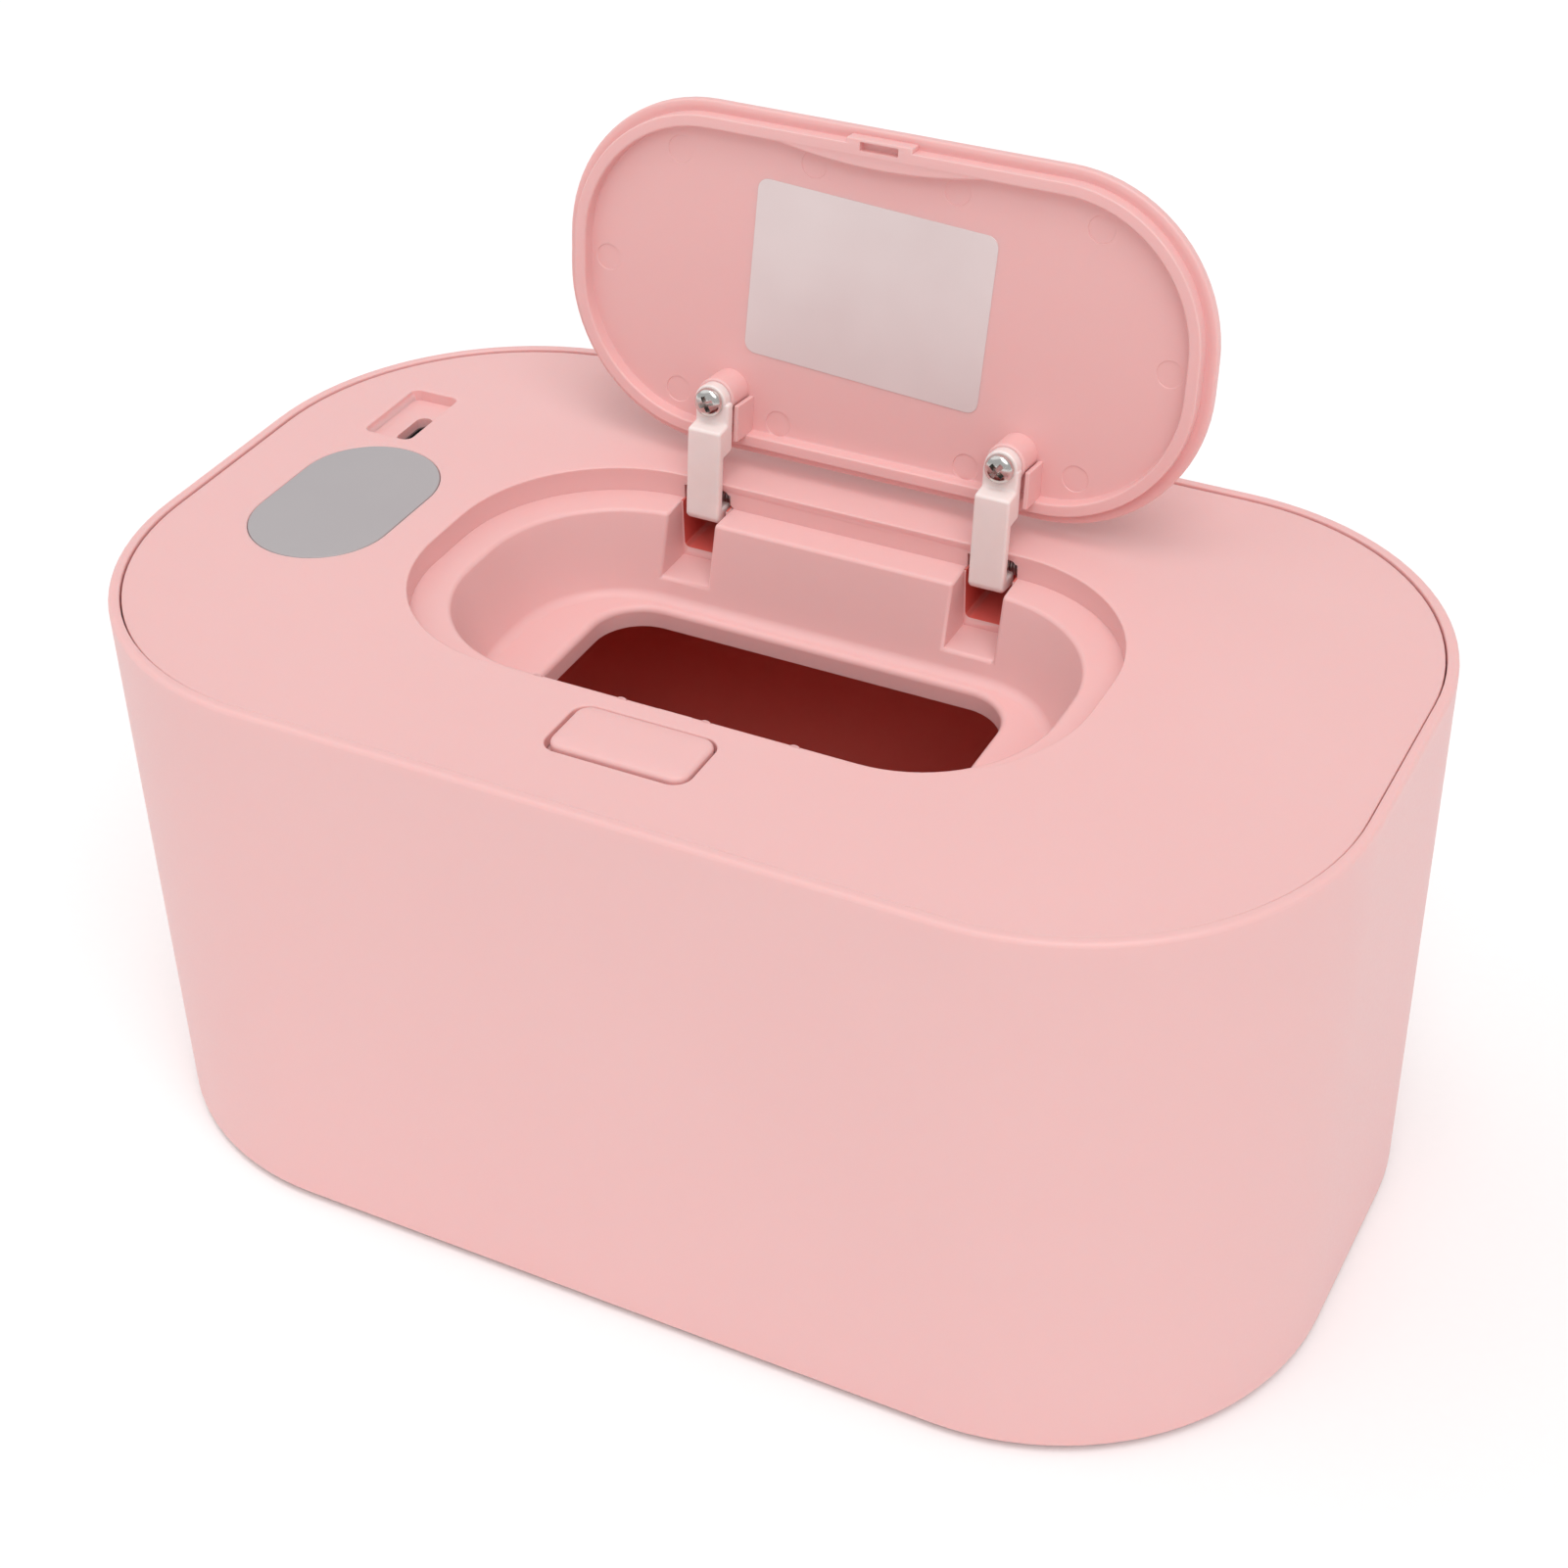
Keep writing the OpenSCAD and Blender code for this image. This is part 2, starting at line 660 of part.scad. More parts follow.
module top_cover() {
    color(pink) difference() {
        union() {
            tub_slab(panel_in, under_z, panel_t);
            tub_ring(skirt_in, skirt_inner_in, skirt_z, skirt_h + nib);
            recess_slab(cover_wall, ledge_z - cover_wall, ledge_drop - panel_t + cover_wall + nib);
            bowl(cover_wall, tray_z - cover_wall, ledge_z - cover_wall + nib);
            throat_slab(cover_wall, throat_z, throat_h);
            for (s = [-1, 1]) pocket_box(s * arm_x);
            inlet_slab(cover_wall, inlet_under_z, under_z - inlet_under_z + nib);
            for (p = under_screws) post(p, boss_r, skirt_z, skirt_h + nib);
            for (x = board_hole_x, y = board_hole_y) post([x, y], boss_r, board_z, under_z - board_z + nib);
            for (s = [-1, 1])
                post([s * bracket_boss_x, button_y], boss_r, bracket_z, under_z - bracket_z + nib);
        }
        recess_slab(0, ledge_z, ledge_drop + nib);
        bowl(0, tray_z, ledge_z + nib);
        throat_slab(0, throat_z - nib, throat_h + 2 * nib);
        for (s = [-1, 1]) pocket_cut(s * arm_x);
        // The hook's slot in the front of the ledge
        translate([-hook_slot_w / 2, hook_y - hook_slot_d / 2, ledge_z - cover_wall - nib])
            cube([hook_slot_w, hook_slot_d, cover_wall + 2 * nib]);
        // The button's hole
        translate([0, button_y, under_z - nib]) linear_extrude(panel_t + 2 * nib)
            rounded_plan(button_l + 2 * button_gap, button_w + 2 * button_gap, button_r + button_gap);
        // The window's seat and the hole below it
        translate([window_at, window_y, top_z - window_t]) linear_extrude(window_t + nib) window_plan(fit_gap);
        translate([window_at, window_y, under_z - nib]) linear_extrude(panel_t) window_plan(-window_lip);
        // The inlet's pocket and slot
        inlet_slab(0, inlet_floor_z, inlet_drop + nib);
        translate([inlet_at_x, inlet_at_y, inlet_under_z - nib]) linear_extrude(cover_wall + 2 * nib)
            slot_plan(plug_l + plug_gap_l, plug_w + plug_gap_w);
        // Pilot holes
        for (p = under_screws) post(p, screw_r, skirt_z - nib, under_pilot);
        for (x = board_hole_x, y = board_hole_y) post([x, y], screw_r, board_z - nib, board_pilot);
        for (s = [-1, 1]) post([s * bracket_boss_x, button_y], screw_r, bracket_z - nib, bracket_pilot);
    }
    // The nubs in front of the lid, cut off by the recess's front wall
    color(pink) for (x = nub_spots)
        translate([x, tray_mid_y - recess_d / 2 - nub_r + nub_out, ledge_z - nib])
            cylinder(r = nub_r, h = top_z - nub_top_drop - ledge_z + nib);
}

module cover_seal() {
    seal_gap = 0.4;
    seal_in = skirt_in - seal_w - seal_gap;
    color([0.9, 0.88, 0.86]) tub_ring(seal_in, seal_in + seal_w, flange_top_z, seal_t);
}

module cover_underplate() {
    color(deep_pink) difference() {
        union() {
            tub_slab(skirt_in, plate_z, under_t);
            for (p = heat_screws) post(p, boss_r, skirt_z - nib, heat_boss_h + nib);
        }
        throat_slab(cover_wall + fit_gap, plate_z - nib, under_t + 2 * nib);
        for (p = under_screws) post(p, screw_r + fit_gap, plate_z - nib, under_t + 2 * nib);
        for (p = heat_screws) post(p, screw_r, plate_z - nib, under_t + heat_boss_h - heat_pilot_left);
        service_window(plate_z - nib, under_t + 2 * nib);
    }
}

// The window over the heating film through which the fuse, the sensor and the leads rise
module service_window(z, h) {
    translate([service_x - service_l / 2, service_y - service_d / 2, z]) cube([service_l, service_d, h]);
}

// One sheet of the heating stack, with the throat and the screws cut out
module heat_sheet(inset, z, h, hole_r) {
    difference() {
        tub_slab(inset, z, h);
        throat_slab(cover_wall + heat_setback, z - nib, h + 2 * nib);
        for (p = heat_screws) post(p, hole_r, z - nib, h + 2 * nib);
    }
}

module heater_felt() {
    color([0.85, 0.84, 0.82]) difference() {
        heat_sheet(heat_in, felt_z, felt_t, screw_r + fit_gap);
        service_window(felt_z - nib, felt_t + 2 * nib);
    }
}

module heater_film() {
    film_in = 0.5;
    color([0.75, 0.5, 0.15]) heat_sheet(heat_in + film_in, film_z, film_t, screw_r + fit_gap);
}

module heat_plate() {
    color([0.8, 0.81, 0.83]) heat_sheet(heat_in, heat_z, heat_t, screw_r + fit_gap);
}

module underplate_screws() {
    color(steel) for (p = under_screws) screw_up(p, plate_z, under_t + under_shank);
}

module heat_plate_screws() {
    stack = felt_t + film_t + heat_t + under_t;
    color(steel) for (p = heat_screws) screw_up(p, heat_z, stack + heat_boss_h - heat_shank_left);
}

// Fuse, sensor and leads in the service window, from its middle
fuse_x = -5;
fuse_r = 1.6;
fuse_l = 9;
sensor_x = 1.5;
sensor_r = 1.5;
sensor_h = 2.2;
lead_r = 0.6;
lead_bend = 1.2;
// Each pair of leads: foot's x, head's x from the window's middle, half the pitch along y and along x, y
lead_pairs = [
    [6.5, 7.1, 3, 0, 0],
    [-5, -3.9, 5.6, 0, 0],
    [1.5, 3.6, 0, 2.4, 7.5]
];

module thermal_fuse() {
    color([0.85, 0.84, 0.8]) translate([service_x + fuse_x, service_y, felt_z + fuse_r]) rotate([90, 0, 0])
        cylinder(r = fuse_r, h = fuse_l, center = true);
}

module temperature_sensor() {
    color([0.15, 0.15, 0.16]) translate([service_x + sensor_x, service_y, felt_z]) {
        cylinder(r = sensor_r, h = sensor_h);
        translate([0, 0, sensor_h]) sphere(r = sensor_r);
    }
}

module internal_leads() {
    color([0.8, 0.15, 0.12]) for (p = lead_pairs, s = [-1, 1])
        lead([service_x + p[0] + s * p[3], service_y + s * p[2] + p[4], felt_z],
             [window_at + p[1] + s * p[3], service_y + s * p[2] + p[4], board_under_z], lead_r, lead_bend);
}

module control_board() {
    color([0.1, 0.4, 0.25]) difference() {
        translate([board_x0, board_y0, board_under_z])
            cube([board_x1 - board_x0, board_y1 - board_y0, board_t]);
        for (x = board_hole_x, y = board_hole_y)
            post([x, y], screw_r + fit_gap, board_under_z - nib, board_t + 2 * nib);
    }
}

module board_screws() {
    color(steel) for (x = board_hole_x, y = board_hole_y)
        screw_up([x, y], board_under_z, board_t + board_shank);
}

module inlet_socket() {
    shell_t = 0.3;
    floor_t = 1.5;
    tongue_t = 0.7;
    tongue_in = 1.1;
    tongue_drop = 0.5;
    h = inlet_under_z - board_z;
    color(steel) translate([inlet_at_x, inlet_at_y, board_z]) {
        linear_extrude(h) difference() {
            slot_plan(plug_l, plug_w);
            slot_plan(plug_l - 2 * shell_t, plug_w - 2 * shell_t);
        }
        linear_extrude(floor_t) slot_plan(plug_l - shell_t, plug_w - shell_t);
        translate([-tongue_t / 2, tongue_in - plug_l / 2, floor_t / 2])
            cube([tongue_t, plug_l - 2 * tongue_in, h - tongue_drop - floor_t / 2]);
    }
}

module display_module() {
    color(charcoal) translate([window_at - display_w / 2, window_y - display_l / 2, board_z])
        cube([display_w, display_l, display_h]);
}

module light_box() {
    h = under_z - clear_gap - board_z;
    color([0.9, 0.9, 0.88]) translate([window_at, window_y, board_z]) linear_extrude(h) difference() {
        rounded_plan(light_w, light_l, light_r);
        rounded_plan(light_w - 2 * light_wall, light_l - 2 * light_wall, light_r - light_wall);
    }
}

module touch_springs() {
    color([0.8, 0.65, 0.3]) for (s = [-1, 1])
        translate([window_at, window_y + s * touch_y, board_z])
            coil(touch_r, touch_wire_r, 6, top_z - window_t - clear_gap - board_z);
}

module display_window() {
    color([0.71, 0.69, 0.69]) translate([window_at, window_y, top_z - window_t])
        linear_extrude(window_t) window_plan(0);
}

// The slanted blade's outline in the plane across the latch, grown by a gap on both faces
module blade_plan(gap, z0, z1) {
    shift0 = -latch_ratio * (z0 - bracket_z);
    shift1 = -latch_ratio * (z1 - bracket_z);
    polygon([
        [button_y - blade_front + shift0 - gap, z0], [button_y - blade_front + blade_t + shift0 + gap, z0],
        [button_y - blade_front + blade_t + shift1 + gap, z1], [button_y - blade_front + shift1 - gap, z1]
    ]);
}

module blade(w, gap, z0, z1) {
    translate([-w / 2, 0, 0]) rotate([90, 0, 90]) linear_extrude(w) blade_plan(gap, z0, z1);
}

module latch_bracket() {
    rail_in = latch_half_w + clear_gap;
    rail_w = 2;
    rail_l = 4;
    lip_w = 1;
    lip_t = 0.8;
    rail_y = bracket_back_y - rail_l;
    lip_z = latch_z + latch_t + clear_gap;
    color(pink) difference() {
        union() {
            translate([-bracket_half_l, bracket_front_y, bracket_z - bracket_t])
                cube([2 * bracket_half_l, bracket_back_y - bracket_front_y, bracket_t]);
            for (s = [-1, 1]) {
                translate([s * (rail_in + rail_w / 2) - rail_w / 2, rail_y, bracket_z - nib])
                    cube([rail_w, rail_l, lip_z + lip_t - bracket_z + nib]);
                translate([s * (rail_in + (rail_w - lip_w) / 2) - (rail_w + lip_w) / 2, rail_y, lip_z])
                    cube([rail_w + lip_w, rail_l, lip_t]);
                post([s * spring_x, button_y], spigot_r, bracket_z - nib, spigot_h + nib);
            }
        }
        translate([-blade_w / 2 - blade_room, button_y - bracket_back / 2, bracket_z - bracket_t - nib])
            cube([blade_w + 2 * blade_room, bracket_back, bracket_t + 2 * nib]);
        for (x = [-bracket_boss_x, bracket_boss_x])
            post([x, button_y], screw_r + fit_gap, bracket_z - bracket_t - nib, bracket_t + 2 * nib);
    }
}

module bracket_screws() {
    color(steel) for (s = [-1, 1])
        screw_up([s * bracket_boss_x, button_y], bracket_z - bracket_t, bracket_t + bracket_shank);
}

module button_springs() {
    color(steel) for (s = [-1, 1])
        translate([s * spring_x, button_y, bracket_z]) coil(spring_r, spring_wire_r, 4, spring_h);
}

// Two torsion coils around the hinge pins, each with one leg that ends on the pocket's back wall
module torsion_springs() {
    steps = 12;
    count = coil_turns * steps;
    color(steel) for (s = [-1, 1])
        translate([s * arm_x + coil_x, pivot_y, pivot_z])
            wire(concat(
                [for (k = [0 : count])
                    let (a = -90 + 360 * k / steps, out = [0, cos(a), sin(a)], x = coil_pitch * k / steps)
                        ring_points([x, 0, 0] + coil_r * out, out, [1, 0, 0], coil_wire_r, 6)],
                [ring_points([coil_pitch * coil_turns, pocket_back_y - pivot_y, -coil_r],
                             [0, 0, -1], [1, 0, 0], coil_wire_r, 6)]
            ));
}

module lid_plan(inset) {
    rounded_plan(lid_l - 2 * inset, lid_d - 2 * inset, lid_r - inset);
}

// The boss and the rib that each hinge arm sits against
module lid_boss(x) {
    rib_gap = 0.15;
    rib_t = 0.9;
    rib_l = 8;
    post([x, arm_screw_u], lid_boss_r, lid_half_t - nib, lid_boss_h + nib);
    translate([x + arm_w / 2 + rib_gap, arm_joggle_u, lid_half_t - nib]) cube([rib_t, rib_l, lid_boss_h + nib]);
}

module flip_lid() {
    ease = 0.4;
    core_in = 2;
    bead_lean = 0.3;
    lip_drop = 0.1;
    notch_floor_n = 0.2;
    color(pink) on_open_lid() difference() {
        union() {
            translate([0, 0, ease - lid_half_t]) linear_extrude(lid_t - ease) lid_plan(0);
            translate([0, 0, -lid_half_t]) run_around(lid_l, lid_d, lid_r)
                polygon([[-core_in, 0], [-ease, 0], [0, ease], [0, ease + nib], [-core_in, ease + nib]]);
            translate([0, 0, -lid_half_t]) linear_extrude(lid_half_t) lid_plan(core_in - 10 * nib);
            run_around(lid_l - 2 * bead_in, lid_d - 2 * bead_in, lid_r - bead_in)
                polygon([
                    [-bead_w, lid_half_t - nib], [0, lid_half_t - nib],
                    [-bead_lean, crest_n - ease], [-bead_lean - ease, crest_n],
                    [bead_lean / 1.5 + ease - bead_w, crest_n], [bead_lean / 1.5 - bead_w, crest_n - ease]
                ]);
            translate([0, 0, lid_half_t - nib]) linear_extrude(bead_h + nib - lip_drop) intersection() {
                lid_plan(bead_in + ease);
                translate([0, lid_d / 2 - lip_w + lip_arc_r]) circle(r = lip_arc_r, $fn = 200);
            }
            for (s = [-1, 1]) lid_boss(s * arm_x);
        }
        translate([-hook_w / 2 - 2 * clear_gap, notch_u - notch_h / 2, notch_floor_n])
            cube([hook_w + 4 * clear_gap, notch_h, crest_n]);
        for (s = [-1, 1]) post([s * arm_x, arm_screw_u], screw_r, lid_half_t, lid_boss_h + nib);
    }
}

// Side outline of a hinge arm: y runs along the lid and z away from it
module arm_profile() {
    ease = 0.6;
    corner = 0.8;
    leg_t = 2.3;
    back_u = pivot_u - hub_r;
    polygon([
        [arm_screw_u, boss_top_n], [arm_screw_u, boss_top_n + eyelet_t],
        [arm_step_u, boss_top_n + eyelet_t], [arm_step_u - ease, arm_front_n],
        [back_u + corner, arm_front_n], [back_u, arm_front_n - corner],
        [back_u, pivot_n], [pivot_u, pivot_n], [pivot_u, pivot_n + hub_r / 2],
        [back_u + leg_t, pivot_n + hub_r], [back_u + leg_t, arm_back_n - ease],
        [back_u + leg_t + ease, arm_back_n], [arm_joggle_u - ease, arm_back_n], [arm_joggle_u, boss_top_n]
    ]);
}

module hinge_arm(x) {
    coil_room = 0.4;
    color(nylon) on_open_lid() translate([x, 0, 0]) difference() {
        union() {
            translate([-arm_w / 2, 0, 0]) rotate([90, 0, 90]) linear_extrude(arm_w) arm_profile();
            post([0, arm_screw_u], lid_boss_r, boss_top_n, eyelet_t);
            translate([hub_x - hub_w / 2, pivot_u, pivot_n]) rotate([0, 90, 0]) cylinder(r = hub_r, h = hub_w);
        }
        // Room for the torsion coil beside the hub
        translate([hub_x + hub_w / 2, pivot_u - hub_r - nib, pivot_n - hub_r - nib])
            cube([arm_w, 2 * hub_r + 2 * nib, 2 * hub_r + coil_room]);
        translate([hub_x - hub_w / 2 - nib, pivot_u, pivot_n]) rotate([0, 90, 0])
            cylinder(r = pin_d / 2, h = hub_w + 2 * nib);
        post([0, arm_screw_u], screw_r + fit_gap, boss_top_n - nib, eyelet_t + 2 * nib);
    }
}

module hinge_arm_left() {
    hinge_arm(-arm_x);
}

module hinge_arm_right() {
    hinge_arm(arm_x);
}

module lid_screws() {
    seat = boss_top_n + eyelet_t;
    color(steel) on_open_lid() for (s = [-1, 1])
        translate([s * arm_x, arm_screw_u, seat]) mirror([0, 0, 1]) screw_up([0, 0], 0, eyelet_t + lid_shank);
}

module hinge_pins() {
    pin_l = pocket_w + 2 * cover_wall - 2 * clear_gap;
    color(steel) for (s = [-1, 1])
        translate([s * arm_x, pivot_y, pivot_z]) rotate([0, 90, 0])
            cylinder(r = pin_d / 2, h = pin_l, center = true);
}

module lid_sticker() {
    sticker_t = 0.12;
    sticker_r = 2;
    sticker_x = -2;
    sticker_u = 2.4;
    sticker_turn = -3.3;
    color([0.88, 0.81, 0.81]) on_open_lid() translate([sticker_x, sticker_u, lid_half_t])
        rotate(sticker_turn) linear_extrude(sticker_t) rounded_plan(sticker_l, sticker_w, sticker_r);
}

module open_button() {
    cap_h = button_proud + panel_t + clear_gap;
    ease = 0.5;
    core_in = 1;
    color(pink) translate([0, button_y, 0]) {
        translate([0, 0, button_flange_top - nib]) linear_extrude(cap_h - ease + nib)
            rounded_plan(button_l, button_w, button_r);
        translate([0, 0, top_z + button_proud - ease]) {
            linear_extrude(ease)
                rounded_plan(button_l - 2 * core_in, button_w - 2 * core_in, button_r - core_in);
            run_around(button_l, button_w, button_r)
                polygon([
                    [-2 * core_in, -nib], [0, -nib], [0, 0],
                    [-ease * 0.3, ease * 0.7], [-ease, ease], [-2 * core_in, ease]
                ]);
        }
        translate([0, 0, button_flange_z]) linear_extrude(button_flange_t)
            rounded_plan(button_l + 2 * flange_over, button_w + 2 * flange_over, button_r + flange_over);
        for (s = [-1, 1])
            post([s * spring_x, 0], spigot_r, button_flange_z - spigot_h, spigot_h + nib);
    }
    color(pink) blade(blade_w, 0, bracket_z - latch_lift / 2, button_flange_z + nib);
}

module latch_slider() {
    slot_w = blade_w + 2 * clear_gap;
    end_over = 3.5;
    hook_root = 0.4;
    front_y = button_y - blade_front - end_over;
    back_y = hook_y + hook_t / 2 + hook_root;
    color([0.95, 0.95, 0.93]) difference() {
        union() {
            translate([-latch_half_w, front_y, latch_z]) cube([2 * latch_half_w, back_y - front_y, latch_t]);
            translate([-hook_w / 2, hook_y - hook_t / 2, latch_z]) cube([hook_w, hook_t, hook_top_z - latch_z]);
        }
        blade(slot_w, blade_gap, latch_z - nib, latch_z + latch_t + nib);
    }
}

outer_shell();
rubber_feet();
inner_tank();
top_cover();
cover_seal();
cover_underplate();
underplate_screws();
heater_felt();
heater_film();
heat_plate();
heat_plate_screws();
thermal_fuse();
temperature_sensor();
internal_leads();
control_board();
board_screws();
inlet_socket();
display_module();
light_box();
touch_springs();
display_window();
latch_bracket();
bracket_screws();
button_springs();
torsion_springs();
flip_lid();
hinge_arm_left();
hinge_arm_right();
lid_screws();
hinge_pins();
lid_sticker();
open_button();
latch_slider();
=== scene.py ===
import bpy, bmesh, math
from mathutils import Matrix, Vector


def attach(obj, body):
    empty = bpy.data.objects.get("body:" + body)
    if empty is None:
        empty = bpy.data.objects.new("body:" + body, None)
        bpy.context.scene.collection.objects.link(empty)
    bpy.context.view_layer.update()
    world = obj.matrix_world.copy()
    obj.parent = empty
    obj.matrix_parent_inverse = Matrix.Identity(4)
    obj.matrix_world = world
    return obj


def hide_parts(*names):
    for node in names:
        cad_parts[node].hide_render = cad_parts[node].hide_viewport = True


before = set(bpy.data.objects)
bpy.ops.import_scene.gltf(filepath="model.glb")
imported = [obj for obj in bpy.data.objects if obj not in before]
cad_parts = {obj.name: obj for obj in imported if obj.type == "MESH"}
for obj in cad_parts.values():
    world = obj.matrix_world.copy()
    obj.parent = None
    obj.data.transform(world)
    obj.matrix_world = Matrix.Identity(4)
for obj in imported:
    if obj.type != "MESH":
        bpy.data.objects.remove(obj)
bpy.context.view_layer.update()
scene = bpy.context.scene
mm = 0.001
quarter = math.pi / 2
armX = 27.5  # both hinge arms, from the middle


# Small helpers for nodes and meshes

def hexColour(code):
    parts = [int(code[i:i + 2], 16) / 255 for i in (1, 3, 5)]
    return tuple(c / 12.92 if c <= 0.04045 else ((c + 0.055) / 1.055) ** 2.4 for c in parts) + (1.0,)


def perMm(size):  # texture scale of a pattern whose cells are this many millimetres across
    return 1 / (size * mm)


def addNode(tree, kind, inputs=None, **settings):
    node = tree.nodes.new("ShaderNode" + kind)
    for key, value in settings.items():
        setattr(node, key, value)
    for key, value in (inputs or {}).items():
        if isinstance(value, bpy.types.NodeSocket):
            tree.links.new(value, node.inputs[key])
        else:
            node.inputs[key].default_value = value
    return node


def closeUp(bm):  # merged doubles, and faces that point outwards
    bmesh.ops.remove_doubles(bm, verts=bm.verts, dist=0.002 * mm)
    bmesh.ops.recalc_face_normals(bm, faces=bm.faces)
    if bm.calc_volume(signed=True) < 0:
        bmesh.ops.reverse_faces(bm, faces=bm.faces)


def finishPiece(bm, name, body, material, replaced=(), sharp=35):
    closeUp(bm)
    mesh = bpy.data.meshes.new(name)
    bm.to_mesh(mesh)
    bm.free()
    return placePiece(mesh, name, body, material, replaced, sharp)


def placePiece(mesh, name, body, material, replaced=(), sharp=35):
    for face in mesh.polygons:
        face.use_smooth = True
    mesh.set_sharp_from_angle(angle=math.radians(sharp))
    piece = bpy.data.objects.new(name, mesh)
    scene.collection.objects.link(piece)
    mesh.materials.append(material)
    weighted = piece.modifiers.new("weightedNormals", "WEIGHTED_NORMAL")
    weighted.keep_sharp = True
    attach(piece, body)
    if replaced:
        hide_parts(*replaced)
    return piece


def combine(bm, other, operation):  # boolean of two bmeshes, by Blender's own modifier
    objects = []
    for part in (bm, other):
        closeUp(part)
        mesh = bpy.data.meshes.new("part")
        part.to_mesh(mesh)
        part.free()
        objects.append(bpy.data.objects.new("part", mesh))
        scene.collection.objects.link(objects[-1])
    cut = objects[0].modifiers.new("boolean", "BOOLEAN")
    cut.operation, cut.object, cut.solver = operation, objects[1], "EXACT"
    evaluated = objects[0].evaluated_get(bpy.context.evaluated_depsgraph_get())
    result = bmesh.new()
    result.from_mesh(evaluated.to_mesh())
    evaluated.to_mesh_clear()
    for thing in objects:
        bpy.data.objects.remove(thing)
    bmesh.ops.remove_doubles(result, verts=result.verts, dist=0.002 * mm)
    return result


def addLoop(bm, halfX, halfY, radius, x=0, y=0, z=0, steps=14):  # outline with four spun corners
    first = last = None
    older = set(bm.edges)
    for k, (sx, sy) in enumerate([(1, 1), (-1, 1), (-1, -1), (1, -1)]):
        centre = Vector((x + sx * (halfX - radius), y + sy * (halfY - radius), z)) * mm
        arm = Matrix.Rotation(k * quarter, 3, "Z") @ Vector((radius * mm, 0, 0))
        corner = bmesh.ops.create_vert(bm, co=centre + arm)["vert"][0]
        if last:
            bm.edges.new((last, corner))
        first = first or corner
        spun = bmesh.ops.spin(bm, geom=[corner], cent=centre, axis=(0, 0, 1), angle=quarter, steps=steps)
        last = spun["geom_last"][0]
    bm.edges.new((last, first))
    return [e for e in bm.edges if e not in older]


def addStack(bm, loops, closed=False, steps=14):  # bridges loops into a skin and caps or joins its ends
    for before, loop in zip(loops, loops[1:]):  # bridging needs a hair of height between two loops
        if abs(loop["z"] - before["z"]) < 0.004:
            loop["z"] = before["z"] + 0.004
    rings = [addLoop(bm, steps=steps, **loop) for loop in loops]
    pairs = list(zip(rings, rings[1:])) + ([(rings[-1], rings[0])] if closed else [])
    for lower, upper in pairs:
        bmesh.ops.bridge_loops(bm, edges=lower + upper)
    if not closed:
        for ring in (rings[0], rings[-1]):
            bmesh.ops.contextual_create(bm, geom=ring)


def offsetLoops(halfX, halfY, radius, profile, y=0):  # one outline, carried along a profile of offset and height
    return [dict(halfX=halfX + out, halfY=halfY + out, radius=radius + out, y=y, z=z) for out, z in profile]


def roundStep(start, end, way, steps=4):  # quarter round of a profile, between two of its points
    (x0, z0), (x1, z1) = start, end
    turns = [quarter * k / steps for k in range(steps + 1)]
    if way in ("out", "down"):  # leaves along the offset, arrives along the height
        return [(x0 + (x1 - x0) * math.sin(t), z1 + (z0 - z1) * math.cos(t)) for t in turns]
    return [(x1 + (x0 - x1) * math.cos(t), z0 + (z1 - z0) * math.sin(t)) for t in turns]


def addBox(bm, low, high, bevel=0, segments=3):
    size, middle = [(b - a) * mm for a, b in zip(low, high)], [(a + b) / 2 * mm for a, b in zip(low, high)]
    place = Matrix.Translation(middle) @ Matrix.Diagonal(size + [1])
    verts = bmesh.ops.create_cube(bm, size=1, matrix=place)["verts"]
    if bevel:
        edges = list({e for v in verts for e in v.link_edges})
        bmesh.ops.bevel(bm, geom=edges, offset=bevel * mm, affect="EDGES", segments=segments, profile=0.5, material=-1)


def addTurned(bm, profile, matrix=Matrix(), steps=48):  # a profile of radius and height spun around its axis
    older = set(bm.verts)
    verts = [bmesh.ops.create_vert(bm, co=(r * mm, 0, z * mm))["vert"][0] for r, z in profile]
    edges = [bm.edges.new(pair) for pair in zip(verts, verts[1:])]
    bmesh.ops.spin(bm, geom=verts + edges, cent=(0, 0, 0), axis=(0, 0, 1), angle=2 * math.pi, steps=steps, use_merge=True)
    bmesh.ops.remove_doubles(bm, verts=[v for v in bm.verts if v not in older], dist=0.002 * mm)
    bmesh.ops.transform(bm, matrix=matrix, verts=[v for v in bm.verts if v not in older])


def copyOfNode(node):  # a merged copy of a CAD node, with its flat faces made whole
    bm = bmesh.new()
    bm.from_mesh(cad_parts[node].data)
    bmesh.ops.remove_doubles(bm, verts=bm.verts, dist=0.001 * mm)
    bmesh.ops.dissolve_limit(bm, angle_limit=math.radians(0.4), verts=bm.verts, edges=bm.edges)
    return bm


def roundEdges(bm, chosen, width, segments=3, angle=28, convexOnly=False):
    edges = []
    for e in bm.edges:
        if len(e.link_faces) == 2 and e.calc_face_angle(0) > math.radians(angle) and (e.is_convex or not convexOnly):
            a, b = (v.co / mm for v in e.verts)
            if chosen(a, b):
                edges.append(e)
    bmesh.ops.bevel(bm, geom=edges, offset=width * mm, affect="EDGES", segments=segments, profile=0.5, material=-1,
                    clamp_overlap=False)
    return len(edges)


# Camera

cameraSpec = {
    "place": (185.9, -347.5, 355.6),  # mm
    "azimuth": 27.85,
    "elevation": 36.18,
    "roll": -1.46,
    "lens": 64.67,
}

